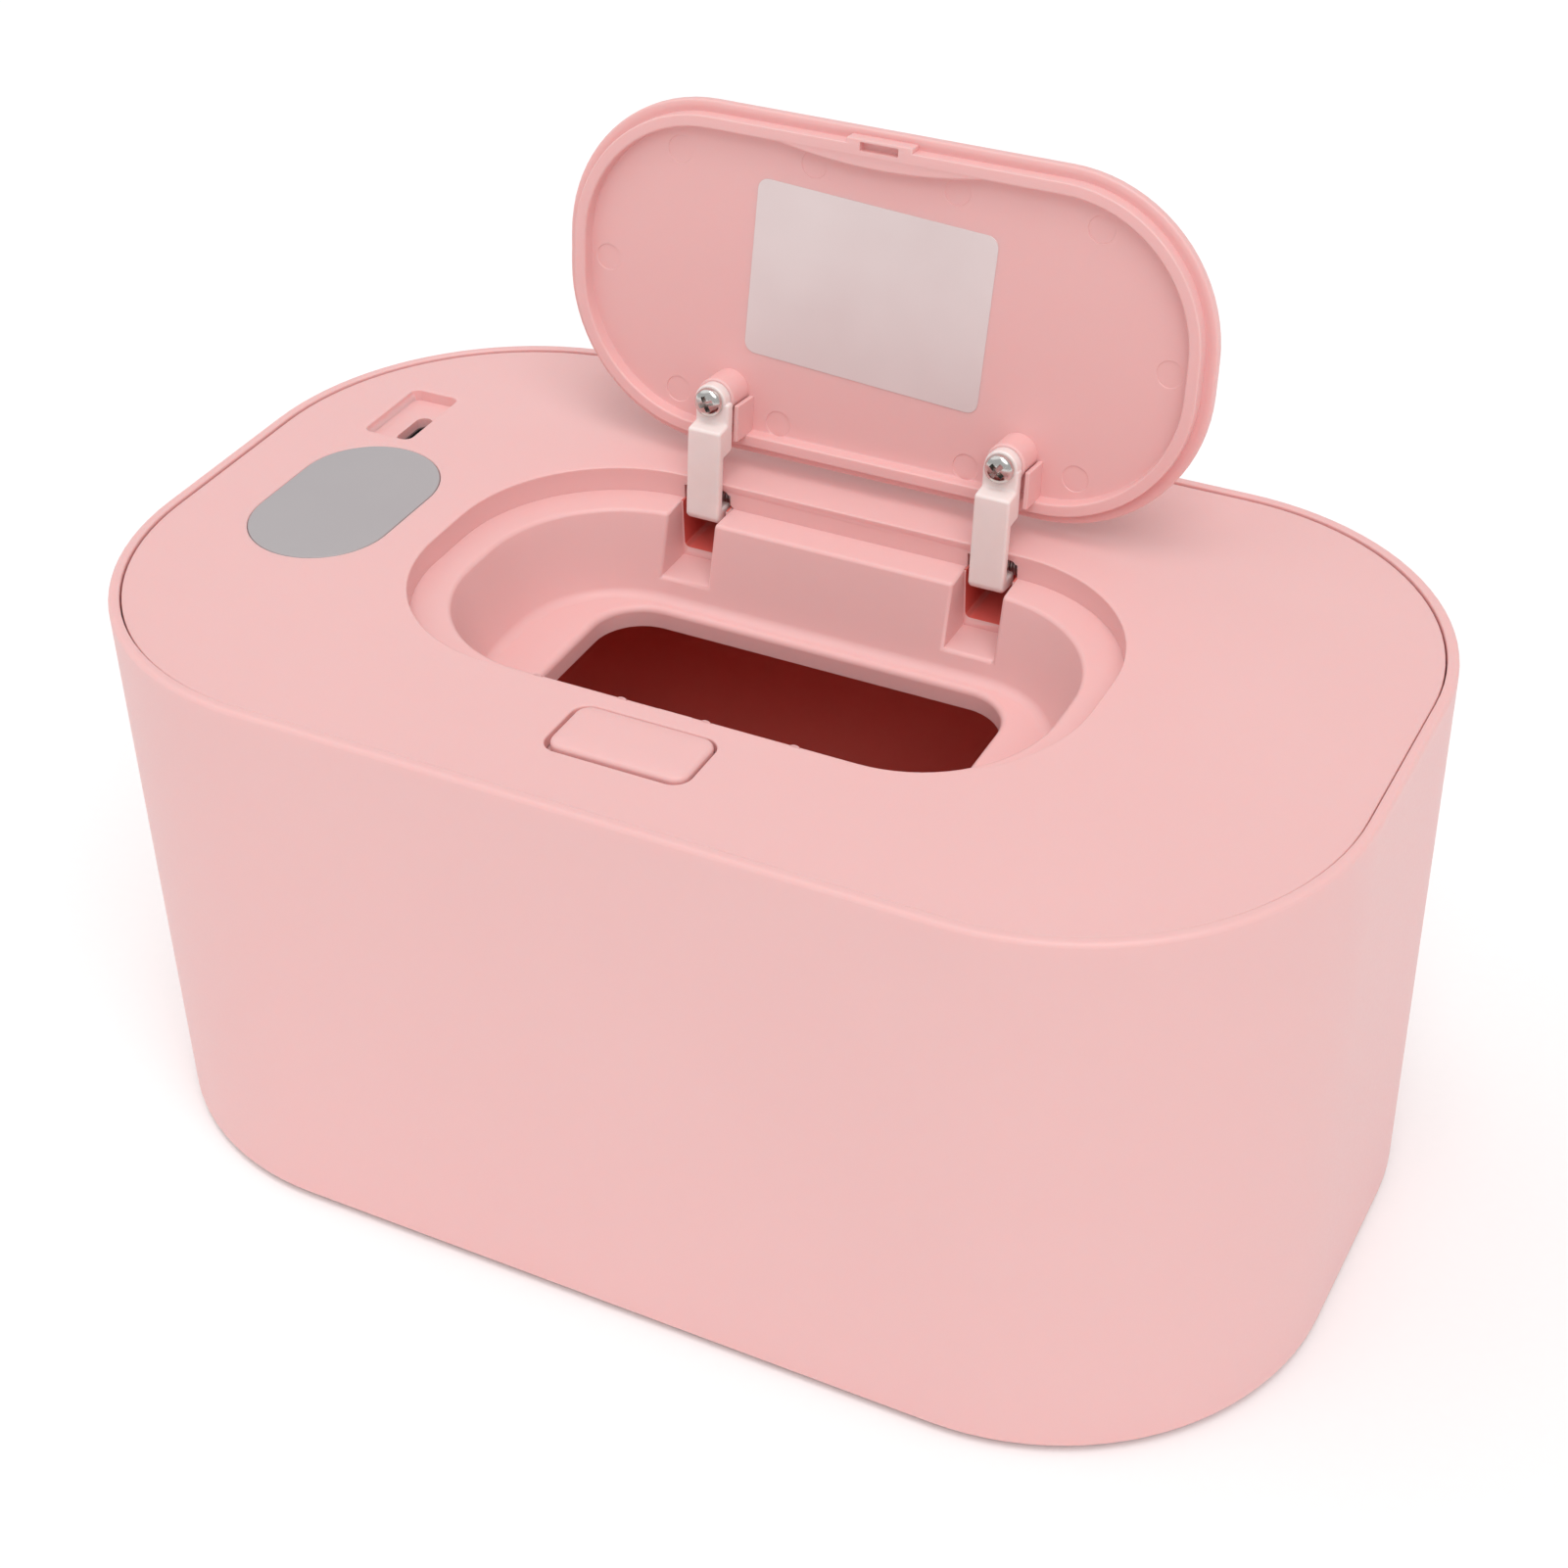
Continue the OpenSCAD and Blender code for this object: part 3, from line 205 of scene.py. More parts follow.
camera = bpy.data.objects.new("camera", bpy.data.cameras.new("camera"))
scene.collection.objects.link(camera)
camera.data.sensor_width = 36
camera.data.lens = cameraSpec["lens"]
camera.data.clip_start = 0.01
camera.matrix_world = (
    Matrix.Translation(Vector(cameraSpec["place"]) * mm)
    @ Matrix.Rotation(math.radians(cameraSpec["azimuth"]), 4, "Z")
    @ Matrix.Rotation(math.radians(90 - cameraSpec["elevation"]), 4, "X")
    @ Matrix.Rotation(math.radians(cameraSpec["roll"]), 4, "Z")
)
scene.camera = camera
print("camera ready")


# Materials

plastics = {
    # satin ABS from a spark-eroded mould: soft highlight, a grain that just shows
    "pinkAbs": dict(colours=("#EDBBB9", "#EFBEBC"), cloud=38, grain=0.45, depth=0.012, rough=(0.40, 0.50), glow=0.3),
    # polypropylene of the tank, smoother and warmer than the outer mouldings
    "tankPolypropylene": dict(colours=("#FA877C", "#FC8C82"), cloud=30, grain=0.7, depth=0.010, rough=(0.34, 0.44),
                              glow=0.45),
    # polypropylene of the parts under the cover, a deeper pink; on the cover's pocket walls the same colour is painted
    # shade
    "deepPinkAndPocketShade": dict(colours=("#DE645B", "#E06A61"), cloud=30, grain=0.7, depth=0.010, rough=(0.34, 0.44),
                              glow=0.3),
    # white ABS of the hidden light box
    "whiteAbs": dict(colours=("#EDEDE9", "#F2F2EF"), cloud=20, grain=0.5, depth=0.010, rough=(0.42, 0.52)),
    # silicone rubber, milky and matte
    "milkySilicone": dict(colours=("#DAD6D0", "#E4E0DA"), cloud=6, grain=0.3, depth=0.012, rough=(0.60, 0.72)),
    # moulded rubber, nearly black, with a dry surface
    "blackRubber": dict(colours=("#2A2A2D", "#343438"), cloud=4, grain=0.35, depth=0.030, rough=(0.72, 0.86)),
    # epoxy casting of the display and the sensor: glossy black
    "blackEpoxy": dict(colours=("#17171A", "#202024"), cloud=5, grain=0.9, depth=0.008, rough=(0.14, 0.22)),
    # cast ceramic of the fuse, chalky
    "fuseCeramic": dict(colours=("#D9D5CB", "#E3E0D8"), cloud=2, grain=0.25, depth=0.015, rough=(0.6, 0.75)),
    # silicone insulation of the leads, red with a dull shine
    "redInsulation": dict(colours=("#B5241D", "#C22C24"), cloud=3, grain=0.3, depth=0.008, rough=(0.40, 0.5)),
}


def startMaterial(name):
    material = bpy.data.materials.new(name)
    material.use_nodes = True
    tree = material.node_tree
    coord = addNode(tree, "TexCoord").outputs["Object"]
    return material, tree, tree.nodes["Principled BSDF"], coord


def mouldedPlastic(name, colours, cloud, grain, depth, rough, glow=0):
    material, tree, shader, coord = startMaterial(name)
    clouds = addNode(tree, "TexNoise", {"Vector": coord, "Scale": perMm(cloud), "Detail": 3})
    colour = addNode(tree, "Mix", {0: clouds.outputs[0], 6: hexColour(colours[0]), 7: hexColour(colours[1])}, data_type="RGBA")
    grains = addNode(tree, "TexNoise", {"Vector": coord, "Scale": perMm(grain), "Detail": 2})
    gloss = addNode(tree, "MapRange", {0: grains.outputs[0], 1: 0.3, 2: 0.7, 3: rough[0], 4: rough[1]})
    bump = addNode(tree, "Bump", {"Height": grains.outputs[0], "Distance": depth * mm, "Strength": 0.6})
    tree.links.new(colour.outputs[2], shader.inputs["Base Color"])
    tree.links.new(gloss.outputs[0], shader.inputs["Roughness"])
    tree.links.new(bump.outputs[0], shader.inputs["Normal"])
    shader.inputs["IOR"].default_value = 1.5
    shader.inputs["Subsurface Weight"].default_value = glow  # light that soaks in and comes out warmer
    shader.inputs["Subsurface Radius"].default_value = (1.0, 0.40, 0.30)
    shader.inputs["Subsurface Scale"].default_value = 2.5 * mm
    return material


surfaces = {name: mouldedPlastic(name, **spec) for name, spec in plastics.items()}


def milkyNylon():  # unfilled nylon of the hinge arms: lets light in, a little yellow in its depth
    material, tree, shader, coord = startMaterial("milkyNylon")
    flow = addNode(tree, "TexNoise", {"Vector": coord, "Scale": perMm(5), "Detail": 3})
    colour = addNode(tree, "Mix", {0: flow.outputs[0], 6: hexColour("#F1DFDB"), 7: hexColour("#F7E9E6")}, data_type="RGBA")
    grains = addNode(tree, "TexNoise", {"Vector": coord, "Scale": perMm(0.5), "Detail": 2})
    bump = addNode(tree, "Bump", {"Height": grains.outputs[0], "Distance": 0.010 * mm, "Strength": 0.5})
    tree.links.new(colour.outputs[2], shader.inputs["Base Color"])
    tree.links.new(bump.outputs[0], shader.inputs["Normal"])
    shader.inputs["Roughness"].default_value = 0.38
    shader.inputs["IOR"].default_value = 1.53
    shader.inputs["Subsurface Weight"].default_value = 0.35
    shader.inputs["Subsurface Radius"].default_value = (1.0, 0.7, 0.6)
    shader.inputs["Subsurface Scale"].default_value = 1.5 * mm
    return material


def metalSurface(name, colours, rough, streaks, depth):  # streaks: cell size along x, y and z in mm
    material, tree, shader, coord = startMaterial(name)
    stretch = addNode(tree, "Mapping", {"Vector": coord, "Scale": [perMm(s) for s in streaks]})
    lines = addNode(tree, "TexNoise", {"Vector": stretch.outputs[0], "Scale": 1.0, "Detail": 3})
    colour = addNode(tree, "Mix", {0: lines.outputs[0], 6: hexColour(colours[0]), 7: hexColour(colours[1])}, data_type="RGBA")
    gloss = addNode(tree, "MapRange", {0: lines.outputs[0], 1: 0.3, 2: 0.7, 3: rough[0], 4: rough[1]})
    bump = addNode(tree, "Bump", {"Height": lines.outputs[0], "Distance": depth * mm, "Strength": 0.5})
    tree.links.new(colour.outputs[2], shader.inputs["Base Color"])
    tree.links.new(gloss.outputs[0], shader.inputs["Roughness"])
    tree.links.new(bump.outputs[0], shader.inputs["Normal"])
    shader.inputs["Metallic"].default_value = 1
    return material


metals = {
    # nickel-plated steel screws: bright, with faint turning marks
    "nickelPlate": dict(colours=("#C9C7C4", "#DAD8D5"), rough=(0.14, 0.24), streaks=(0.6, 0.6, 0.15), depth=0.004),
    # drawn spring wire: satin, with draw lines
    "springSteel": dict(colours=("#C4C3C4", "#D2D1D1"), rough=(0.36, 0.48), streaks=(0.2, 0.6, 0.6), depth=0.005),
    # rolled aluminium sheet of the heating plate: long mill lines
    "rolledAluminium": dict(colours=("#C3C5C8", "#D2D4D6"), rough=(0.30, 0.42), streaks=(18, 0.35, 0.35), depth=0.006),
    # stainless shell of the inlet
    "stainlessShell": dict(colours=("#8E8E90", "#A2A2A4"), rough=(0.24, 0.34), streaks=(0.3, 0.3, 3), depth=0.004),
}
surfaces.update({name: metalSurface(name, **spec) for name, spec in metals.items()})
surfaces["milkyNylon"] = milkyNylon()


def satinFilm():  # blank metallised polyester label: a silky silver with a pink cast, with painted sheen in its colour
    material, tree, shader, coord = startMaterial("satinFilm")
    # painted sheen: a wide cloud of lighter and darker silver in the base colour
    paintedSheen = addNode(tree, "TexNoise", {"Vector": coord, "Scale": perMm(22), "Detail": 2})
    colour = addNode(tree, "Mix", {0: paintedSheen.outputs[0], 6: hexColour("#DFCFCE"), 7: hexColour("#EEE3E2")}, data_type="RGBA")
    fibres = addNode(tree, "TexNoise", {"Vector": coord, "Scale": perMm(0.6), "Detail": 3})
    gloss = addNode(tree, "MapRange", {0: fibres.outputs[0], 1: 0.3, 2: 0.7, 3: 0.30, 4: 0.42})
    bump = addNode(tree, "Bump", {"Height": fibres.outputs[0], "Distance": 0.006 * mm, "Strength": 0.5})
    tree.links.new(colour.outputs[2], shader.inputs["Base Color"])
    tree.links.new(gloss.outputs[0], shader.inputs["Roughness"])
    tree.links.new(bump.outputs[0], shader.inputs["Normal"])
    shader.inputs["Metallic"].default_value = 0.25
    return material


def greyWindow():  # back-printed polycarbonate window: even satin grey, finer than the cover around it
    material, tree, shader, coord = startMaterial("greyWindow")
    cloud = addNode(tree, "TexNoise", {"Vector": coord, "Scale": perMm(16), "Detail": 2})
    colour = addNode(tree, "Mix", {0: cloud.outputs[0], 6: hexColour("#ACA6A8"), 7: hexColour("#B0ABAC")}, data_type="RGBA")
    grains = addNode(tree, "TexNoise", {"Vector": coord, "Scale": perMm(0.4), "Detail": 2})
    bump = addNode(tree, "Bump", {"Height": grains.outputs[0], "Distance": 0.006 * mm, "Strength": 0.5})
    tree.links.new(colour.outputs[2], shader.inputs["Base Color"])
    tree.links.new(bump.outputs[0], shader.inputs["Normal"])
    shader.inputs["Roughness"].default_value = 0.42
    shader.inputs["IOR"].default_value = 1.58
    return material


def needledFelt():  # insulating felt: matted fibres about 0.3 mm thick
    material, tree, shader, coord = startMaterial("needledFelt")
    fibres = addNode(tree, "TexNoise", {"Vector": coord, "Scale": perMm(0.9), "Detail": 6, "Distortion": 1.6})
    colour = addNode(tree, "Mix", {0: fibres.outputs[0], 6: hexColour("#C9C6BF"), 7: hexColour("#EAE8E3")}, data_type="RGBA")
    bump = addNode(tree, "Bump", {"Height": fibres.outputs[0], "Distance": 0.15 * mm, "Strength": 0.8})
    tree.links.new(colour.outputs[2], shader.inputs["Base Color"])
    tree.links.new(bump.outputs[0], shader.inputs["Normal"])
    shader.inputs["Roughness"].default_value = 0.95
    shader.inputs["Sheen Weight"].default_value = 0.3
    return material


def bandedSheet(name, base, band, pitch, share, roughness, metallic=0.0):  # thin sheet with printed bands
    material, tree, shader, coord = startMaterial(name)
    bands = addNode(tree, "TexWave", {"Vector": coord, "Scale": perMm(pitch) / 2 / math.pi * 0.314, "Distortion": 0.4},
                    bands_direction="Y")
    edge = addNode(tree, "MapRange", {0: bands.outputs[1], 1: share - 0.03, 2: share + 0.03, 3: 0, 4: 1})
    colour = addNode(tree, "Mix", {0: edge.outputs[0], 6: hexColour(base), 7: hexColour(band)}, data_type="RGBA")
    bump = addNode(tree, "Bump", {"Height": edge.outputs[0], "Distance": 0.02 * mm, "Strength": 0.6})
    tree.links.new(colour.outputs[2], shader.inputs["Base Color"])
    tree.links.new(bump.outputs[0], shader.inputs["Normal"])
    shader.inputs["Roughness"].default_value = roughness
    shader.inputs["Metallic"].default_value = metallic
    return material


surfaces["satinFilm"] = satinFilm()
surfaces["greyWindow"] = greyWindow()
surfaces["needledFelt"] = needledFelt()
surfaces["polyimideFilm"] = bandedSheet("polyimideFilm", "#B9791E", "#8A5A1A", 5, 0.5, 0.25)  # amber film, etched track
surfaces["solderMask"] = bandedSheet("solderMask", "#1C6B43", "#2C8A5A", 2.5, 0.6, 0.3)  # green mask over copper
print("materials ready:", len(surfaces))


# Tub shell: one swept wall with a floor

tubSpec = {"halfX": 110, "halfY": 65.9, "corner": 49.2, "bottom": 1.2, "top": 105.8, "wall": 1.95, "wallBelow": 1.8,
           "floor": 2.4, "rimDepth": 3,
           "footRound": 1.0, "rimRound": 0.85, "rimInner": 0.3}


def makeTub(s):
    bottom, top, wall = s["bottom"], s["top"], s["wall"]
    foot, rim, lip = s["footRound"], s["rimRound"], s["rimInner"]
    profile = [(-20, bottom)]
    profile += [(-foot + foot * math.sin(t), bottom + foot - foot * math.cos(t)) for t in
                [quarter * k / 5 for k in range(6)]]
    profile += [(-rim + rim * math.cos(t), top - rim + rim * math.sin(t)) for t in [quarter * k / 6 for k in range(7)]]
    profile += [(-wall + lip - lip * math.sin(t), top - lip + lip * math.cos(t)) for t in
                [quarter * k / 3 for k in range(4)]]
    profile += [(-wall, top - s["rimDepth"]), (-s["wallBelow"], top - s["rimDepth"] - 0.3)]
    profile += [(-s["wallBelow"], bottom + s["floor"]), (-20, bottom + s["floor"])]
    bm = bmesh.new()
    addStack(bm, offsetLoops(s["halfX"], s["halfY"], s["corner"], profile), steps=24)
    return finishPiece(bm, "tubShell", "base", surfaces["pinkAbs"], ["outer_shell"])


makeTub(tubSpec)
print("tub shell done")


# Inner tank: a deep tray that hangs by its flange

tankSpec = {"bottom": 5.6, "flangeUnder": 100.4, "flangeTop": 102.2, "flangeIn": 2.1, "outerIn": 4.8, "innerIn": 6.6,
            "floor": 1.8, "footRound": 3.5, "edge": 0.5}


def makeTank(s):
    outer, inner, flange = -s["outerIn"], -s["innerIn"], -s["flangeIn"]
    foot, edge, base = s["footRound"], s["edge"], s["bottom"]
    profile = [(-22, base)] + roundStep((outer - foot, base), (outer, base + foot), "out")
    profile += [(outer, s["flangeUnder"]), (flange, s["flangeUnder"])]
    profile += roundStep((flange, s["flangeTop"] - edge), (flange - edge, s["flangeTop"]), "up", 3)
    profile += roundStep((inner + edge, s["flangeTop"]), (inner, s["flangeTop"] - edge), "down", 3)
    profile += [(inner, base + s["floor"] + foot)]
    profile += roundStep((inner, base + s["floor"] + foot), (inner - foot, base + s["floor"]), "in")[1:]
    profile += [(-22, base + s["floor"])]
    bm = bmesh.new()
    addStack(bm, offsetLoops(tubSpec["halfX"], tubSpec["halfY"], tubSpec["corner"], profile), steps=20)
    return finishPiece(bm, "innerTank", "base", surfaces["tankPolypropylene"], ["inner_tank"])


makeTank(tankSpec)
print("inner tank done")


# Top cover: a merged copy of the moulding, with its edges eased as moulded ones are

windowSpec = {"x": -82.0, "y": -2.8, "halfX": 12.9, "halfY": 19.8, "top": 105.4, "thick": 1.2, "edge": 0.22, "gap": 0.1}

coverSpec = {"top": 105.4, "window": windowSpec,
             "seat": {"x": -82.1, "y": -3.8, "radius": 14.0, "straight": 7.0, "under": 103.3}, "ledge": 100.8, "tray": 85.8, "notchFloor": 89.8, "trayY": -2.8, "edge": 0.3,
             "ledgeEdge": 0.7, "nubs": {"x": (7.5, 23.0), "y": -35.95, "r": 1.1}, "trayFillet": 1.5, "lip": 1.2,
             "tunnel": {"front": 28.8, "back": 39.8, "halfWidth": 4.3, "floor": 91.5, "top": 104.0, "round": 1.0}}


def makeCover(s):
    bm = copyOfNode("top_cover")
    old, window = s["seat"], s["window"]
    for v in bm.verts:  # the seat is drawn in to the window's own outline
        p = v.co / mm
        if p.z > old["under"] and abs(p.x - old["x"]) < 14.1 and abs(p.y - old["y"]) < 21.1:
            side = 1 if p.y > old["y"] else -1
            x, y = p.x - old["x"], p.y - old["y"] - side * old["straight"]
            shrink = (window["halfX"] + window["gap"]) / old["radius"] if math.hypot(x, y) > 13.5 else 1
            v.co.x = (window["x"] + x * shrink) * mm
            v.co.y = (window["y"] + side * (window["halfY"] - window["halfX"]) + y * shrink) * mm
    top, ledge, tray, middle = s["top"], s["ledge"], s["tray"], s["trayY"]

    def level(a, b, z):
        return abs(a.z - z) < 0.02 and abs(b.z - z) < 0.02

    def inside(p, halfX, halfY):
        return abs(p.x) < halfX and abs(p.y - middle) < halfY

    def throatRim(a, b):
        return level(a, b, tray) and inside(a, 38.8, 19.2) and inside(b, 38.8, 19.2)

    def trayFoot(a, b):
        return level(a, b, tray) and not inside(a, 39, 19.5) and inside(a, 52, 25)

    def ledgeAndNotch(a, b):
        if min(a.z, b.z) < s["notchFloor"] - 0.05 or max(a.z, b.z) > top - 2.05 or not inside(a, 61, 33):
            return False
        if level(a, b, ledge):
            return inside(a, 55, 27.4) or abs(abs(a.x) - 27.5) < 4.7 and a.y > 15
        return abs(abs(a.x) - 27.5) < 4.7 and abs(abs(b.x) - 27.5) < 4.7 and 15 < a.y < 30.2 and 15 < b.y < 30.2

    counts = [
        roundEdges(bm, throatRim, s["lip"], 5),
        roundEdges(bm, trayFoot, s["trayFillet"], 5),
        roundEdges(bm, ledgeAndNotch, s["ledgeEdge"], 3, convexOnly=True),
        roundEdges(bm, lambda a, b: level(a, b, top), s["edge"], 3),
    ]
    print("cover edges rounded:", counts)
    for x in s["nubs"]["x"]:  # four nubs centre the closed lid
        for side in (-1, 1):
            nub, r = bmesh.new(), s["nubs"]["r"]
            post = [(0, ledge - 0.3), (r, ledge - 0.3), (r, top - 0.35), (r - 0.3, top - 0.08), (0, top - 0.08)]
            addTurned(nub, post, Matrix.Translation((side * x * mm, s["nubs"]["y"] * mm, 0)), 24)
            bm = combine(bm, nub, "UNION")
    tunnel = s["tunnel"]
    low, high = tunnel["floor"], tunnel["top"]
    for x in (-armX, armX):  # behind each notch the pocket is a little narrower and deeper
        block, hollow = bmesh.new(), bmesh.new()
        addBox(block, (x - 4.7, tunnel["front"], s["notchFloor"] - 0.4), (x + 4.7, tunnel["back"] + 0.5, ledge))
        loop = dict(halfX=tunnel["halfWidth"], halfY=(high - low) / 2, radius=tunnel["round"])
        addStack(hollow, [dict(loop, z=0), dict(loop, z=tunnel["back"] - tunnel["front"] + 0.05)], steps=5)
        place = Matrix.Translation(Vector((x, tunnel["back"], (low + high) / 2)) * mm) @ Matrix.Rotation(quarter, 4, "X")
        bmesh.ops.transform(hollow, matrix=place, verts=hollow.verts)
        bm = combine(combine(bm, block, "UNION"), hollow, "DIFFERENCE")
    for face in bm.faces:  # painted shade: the cover's own pocket walls take the deeper pink, for the dim red light deep in the pockets
        spot = face.calc_center_median() / mm
        if abs(abs(spot.x) - armX) < tunnel["halfWidth"] + 0.05 and low - 0.1 < spot.z < high + 0.1 and (
                tunnel["front"] + 0.1 < spot.y < tunnel["back"] + 0.1):
            face.material_index = 1
    cover = finishPiece(bm, "topCover", "cover", surfaces["pinkAbs"], ["top_cover"])
    # the second material paints the shade inside the pockets
    cover.data.materials.append(surfaces["deepPinkAndPocketShade"])


makeCover(coverSpec)
print("top cover done")


# Display window, flush in its seat

def makeWindow(s):
    low, high, edge = s["top"] - s["thick"], s["top"], s["edge"]
    profile = [(-12, low), (0, low), (0, high - edge)] + roundStep((0, high - edge), (-edge, high), "up", 3)[1:]
    bm = bmesh.new()
    loops = offsetLoops(s["halfX"], s["halfY"], s["halfX"] - 0.05, profile + [(-12, high)], y=s["y"])
    addStack(bm, [dict(loop, x=s["x"]) for loop in loops], steps=20)
    return finishPiece(bm, "displayWindow", "cover", surfaces["greyWindow"], ["display_window"])


makeWindow(windowSpec)


# Open button: a gently domed cap on a flange, with its two spigots and the wedge blade

buttonSpec = {"x": 0.25, "y": -45.9, "halfX": 12.1, "halfY": 6.0, "corner": 2.5, "flangeUnder": 101.7, "flangeTop": 103.1,
              "flangeOut": 1.2, "capEdge": 105.2, "edgeRound": 0.8, "crown": 106.3, "spigotX": 10, "spigotR": 1.55,
              "spigotEnd": 99.85, "bladeWidth": 5.6, "bladeFront": -46.82, "bladeThick": 3.5, "bladeEnd": 96.0,
              "slope": 0.4}


def makeButton(s):
    out, edge, round_ = s["flangeOut"], s["capEdge"], s["edgeRound"]
    profile = [(-4, s["flangeUnder"]), (out, s["flangeUnder"]), (out, s["flangeTop"]), (0, s["flangeTop"]), (0, edge)]
    profile += roundStep((0, edge), (-round_, edge + round_), "up", 4)[1:]
    profile += [(-1.3, s["crown"] - 0.16), (-2.4, s["crown"] - 0.06), (-4, s["crown"])]
    bm = bmesh.new()
    loops = offsetLoops(s["halfX"], s["halfY"], s["corner"], profile, y=s["y"])
    for loop in loops:
        loop["radius"] = max(loop["radius"], 0.4)
        loop["x"] = s["x"]
    addStack(bm, loops, steps=8)
    for side in (-1, 1):
        spigot = bmesh.new()
        post = [(0, s["spigotEnd"]), (s["spigotR"] - 0.2, s["spigotEnd"]), (s["spigotR"], s["spigotEnd"] + 0.2),
                (s["spigotR"], s["flangeUnder"] + 0.2), (0, s["flangeUnder"] + 0.2)]
        addTurned(spigot, post, Matrix.Translation((side * s["spigotX"] * mm, s["y"] * mm, 0)), 24)
        bm = combine(bm, spigot, "UNION")
    blade = bmesh.new()
    rise = s["flangeUnder"] - s["bladeEnd"]
    addBox(blade, (-s["bladeWidth"] / 2, s["bladeFront"], s["bladeEnd"]),
           (s["bladeWidth"] / 2, s["bladeFront"] + s["bladeThick"], s["flangeUnder"] + 0.2))
    for v in blade.verts:  # the blade leans to the front as it rises
        v.co.y -= (v.co.z - s["bladeEnd"] * mm) * s["slope"]
    bm = combine(bm, blade, "UNION")
    return finishPiece(bm, "openButton", "button", surfaces["pinkAbs"], ["open_button"])


makeButton(buttonSpec)
print("window and button done")


# The open lid's own frame: x along the lid, y towards the latch, z to the inside

lidPlace = (
    Matrix.Translation((0, 34.8 * mm, 100.4 * mm))
    @ Matrix.Rotation(math.radians(180 - 97.3), 4, "X")
    @ Matrix.Translation((0, 38.6 * mm, -4.0 * mm))
)
screwY = -19.5

lidSpec = {"halfX": 60.2, "halfY": 30.9, "corner": 28.0, "face": 1.0, "crest": 3.4, "groove": 0.2,
           "latchX": -0.4, "lipRadius": 95, "lipWidth": 6.1, "slot": (3.5, 28.5, 0.76, 1.4), "pad": (6.0, 29.75),
           "bossR": 3.5, "bossTop": 6.8, "rib": (3.65, -26.9, -20.2),
           "marks": [(38.5, 21.5), (13.1, 23.2), (52.5, -0.3), (38.0, -22.0), (18.0, -24.4)],
           "markR": 2.4, "markDepth": 0.13}


def makeLid(s):
    face, crest = s["face"], s["crest"]
    profile = [(-14, -face)] + roundStep((-0.7, -face), (0, -face + 0.7), "out", 4)
    profile += roundStep((0, face - 0.4), (-0.4, face), "up", 3)
    profile += [(-0.9, face), (-1.4, face - s["groove"] / 2), (-1.7, face - s["groove"]), (-2.08, face - s["groove"])]
    profile += roundStep((-2.1, crest - 0.25), (-2.35, crest), "up", 3)
    profile += roundStep((-3.85, crest), (-4.25, crest - 0.4), "down", 3)
    profile += roundStep((-4.35, face + 0.3), (-4.65, face), "in", 2) + [(-14, face)]
    bm = bmesh.new()
    addStack(bm, offsetLoops(s["halfX"], s["halfY"], s["corner"], profile), steps=20)

    lip = bmesh.new()  # thickened front lip: a wide disc, kept where it runs under the bead
    centreY = s["halfY"] - s["lipWidth"] + s["lipRadius"]
    disc = [(0, face - 0.2), (s["lipRadius"], face - 0.2)]
    disc += roundStep((s["lipRadius"], crest - 0.5), (s["lipRadius"] - 0.5, crest - 0.015), "up")
    addTurned(lip, disc + [(0, crest - 0.015)], Matrix.Translation((s["latchX"] * mm, centreY * mm, 0)), 320)
    inner = bmesh.new()
    addStack(inner, offsetLoops(s["halfX"], s["halfY"], s["corner"], [(-3.0, face - 1), (-3.0, crest + 1)]), steps=20)
    bm = combine(bm, combine(lip, inner, "INTERSECT"), "UNION")
    halfPad, padEnd = s["pad"]
    pad = bmesh.new()  # the crest grows outwards around the latch slot
    addBox(pad, (s["latchX"] - halfPad, 27.6, face - 0.4), (s["latchX"] + halfPad, padEnd, crest - 0.03), bevel=0.3)
    bm = combine(bm, pad, "UNION")

    for side in (-1, 1):
        boss = bmesh.new()
        post = [(0, face - 0.3), (s["bossR"], face - 0.3), (s["bossR"], s["bossTop"] - 0.25),
                (s["bossR"] - 0.25, s["bossTop"]), (0, s["bossTop"])]
        addTurned(boss, post, Matrix.Translation((side * armX * mm, screwY * mm, 0)), 48)
        bm = combine(bm, boss, "UNION")
        rib = bmesh.new()
        gap, ribLow, ribHigh = s["rib"]
        addBox(rib, (side * armX + gap, ribLow, face - 0.3), (side * armX + gap + 0.9, ribHigh, 6.8), bevel=0.22, segments=2)
        bm = combine(bm, rib, "UNION")

    halfSlot, slotY, halfHeight, slotDepth = s["slot"]
    slot = bmesh.new()
    addBox(slot, (s["latchX"] - halfSlot, slotY - halfHeight, crest - slotDepth),
           (s["latchX"] + halfSlot, slotY + halfHeight, 6), bevel=0.2, segments=2)
    bm = combine(bm, slot, "DIFFERENCE")
    marks = bmesh.new()
    for x, y in s["marks"]:
        for side in (-1, 1):
            disc = [(0, face - s["markDepth"]), (s["markR"] - 0.1, face - s["markDepth"]), (s["markR"], face + 0.02),
                    (s["markR"], face + 0.3), (0, face + 0.3)]
            addTurned(marks, disc, Matrix.Translation((side * x * mm, y * mm, 0)), 40)
    bm = combine(bm, marks, "DIFFERENCE")
    bmesh.ops.transform(bm, matrix=lidPlace, verts=bm.verts)
    return finishPiece(bm, "flipLid", "lid", surfaces["pinkAbs"], ["flip_lid"])


makeLid(lidSpec)
print("lid done")


# Hinge arms: a nylon bar bent from the eyelet down to the hub

armSpec = {"width": 6.5, "round": 0.55, "hubR": 2.6, "hubWidth": 4.0, "hubX": -1.2, "hubY": -38.6, "hubZ": 4.0,
           "eyeletR": 3.0, "eyelet": (6.83, 8.84), "pinR": 1.0,
           "outline": [(-19.5, 6.8), (-19.5, 8.8), (-23.3, 8.8), (-23.9, 11.7), (-40.4, 11.7), (-41.2, 10.9),
                       (-41.2, 4.0), (-38.6, 4.0), (-38.6, 9.8), (-29.2, 9.8), (-28.6, 6.8)]}


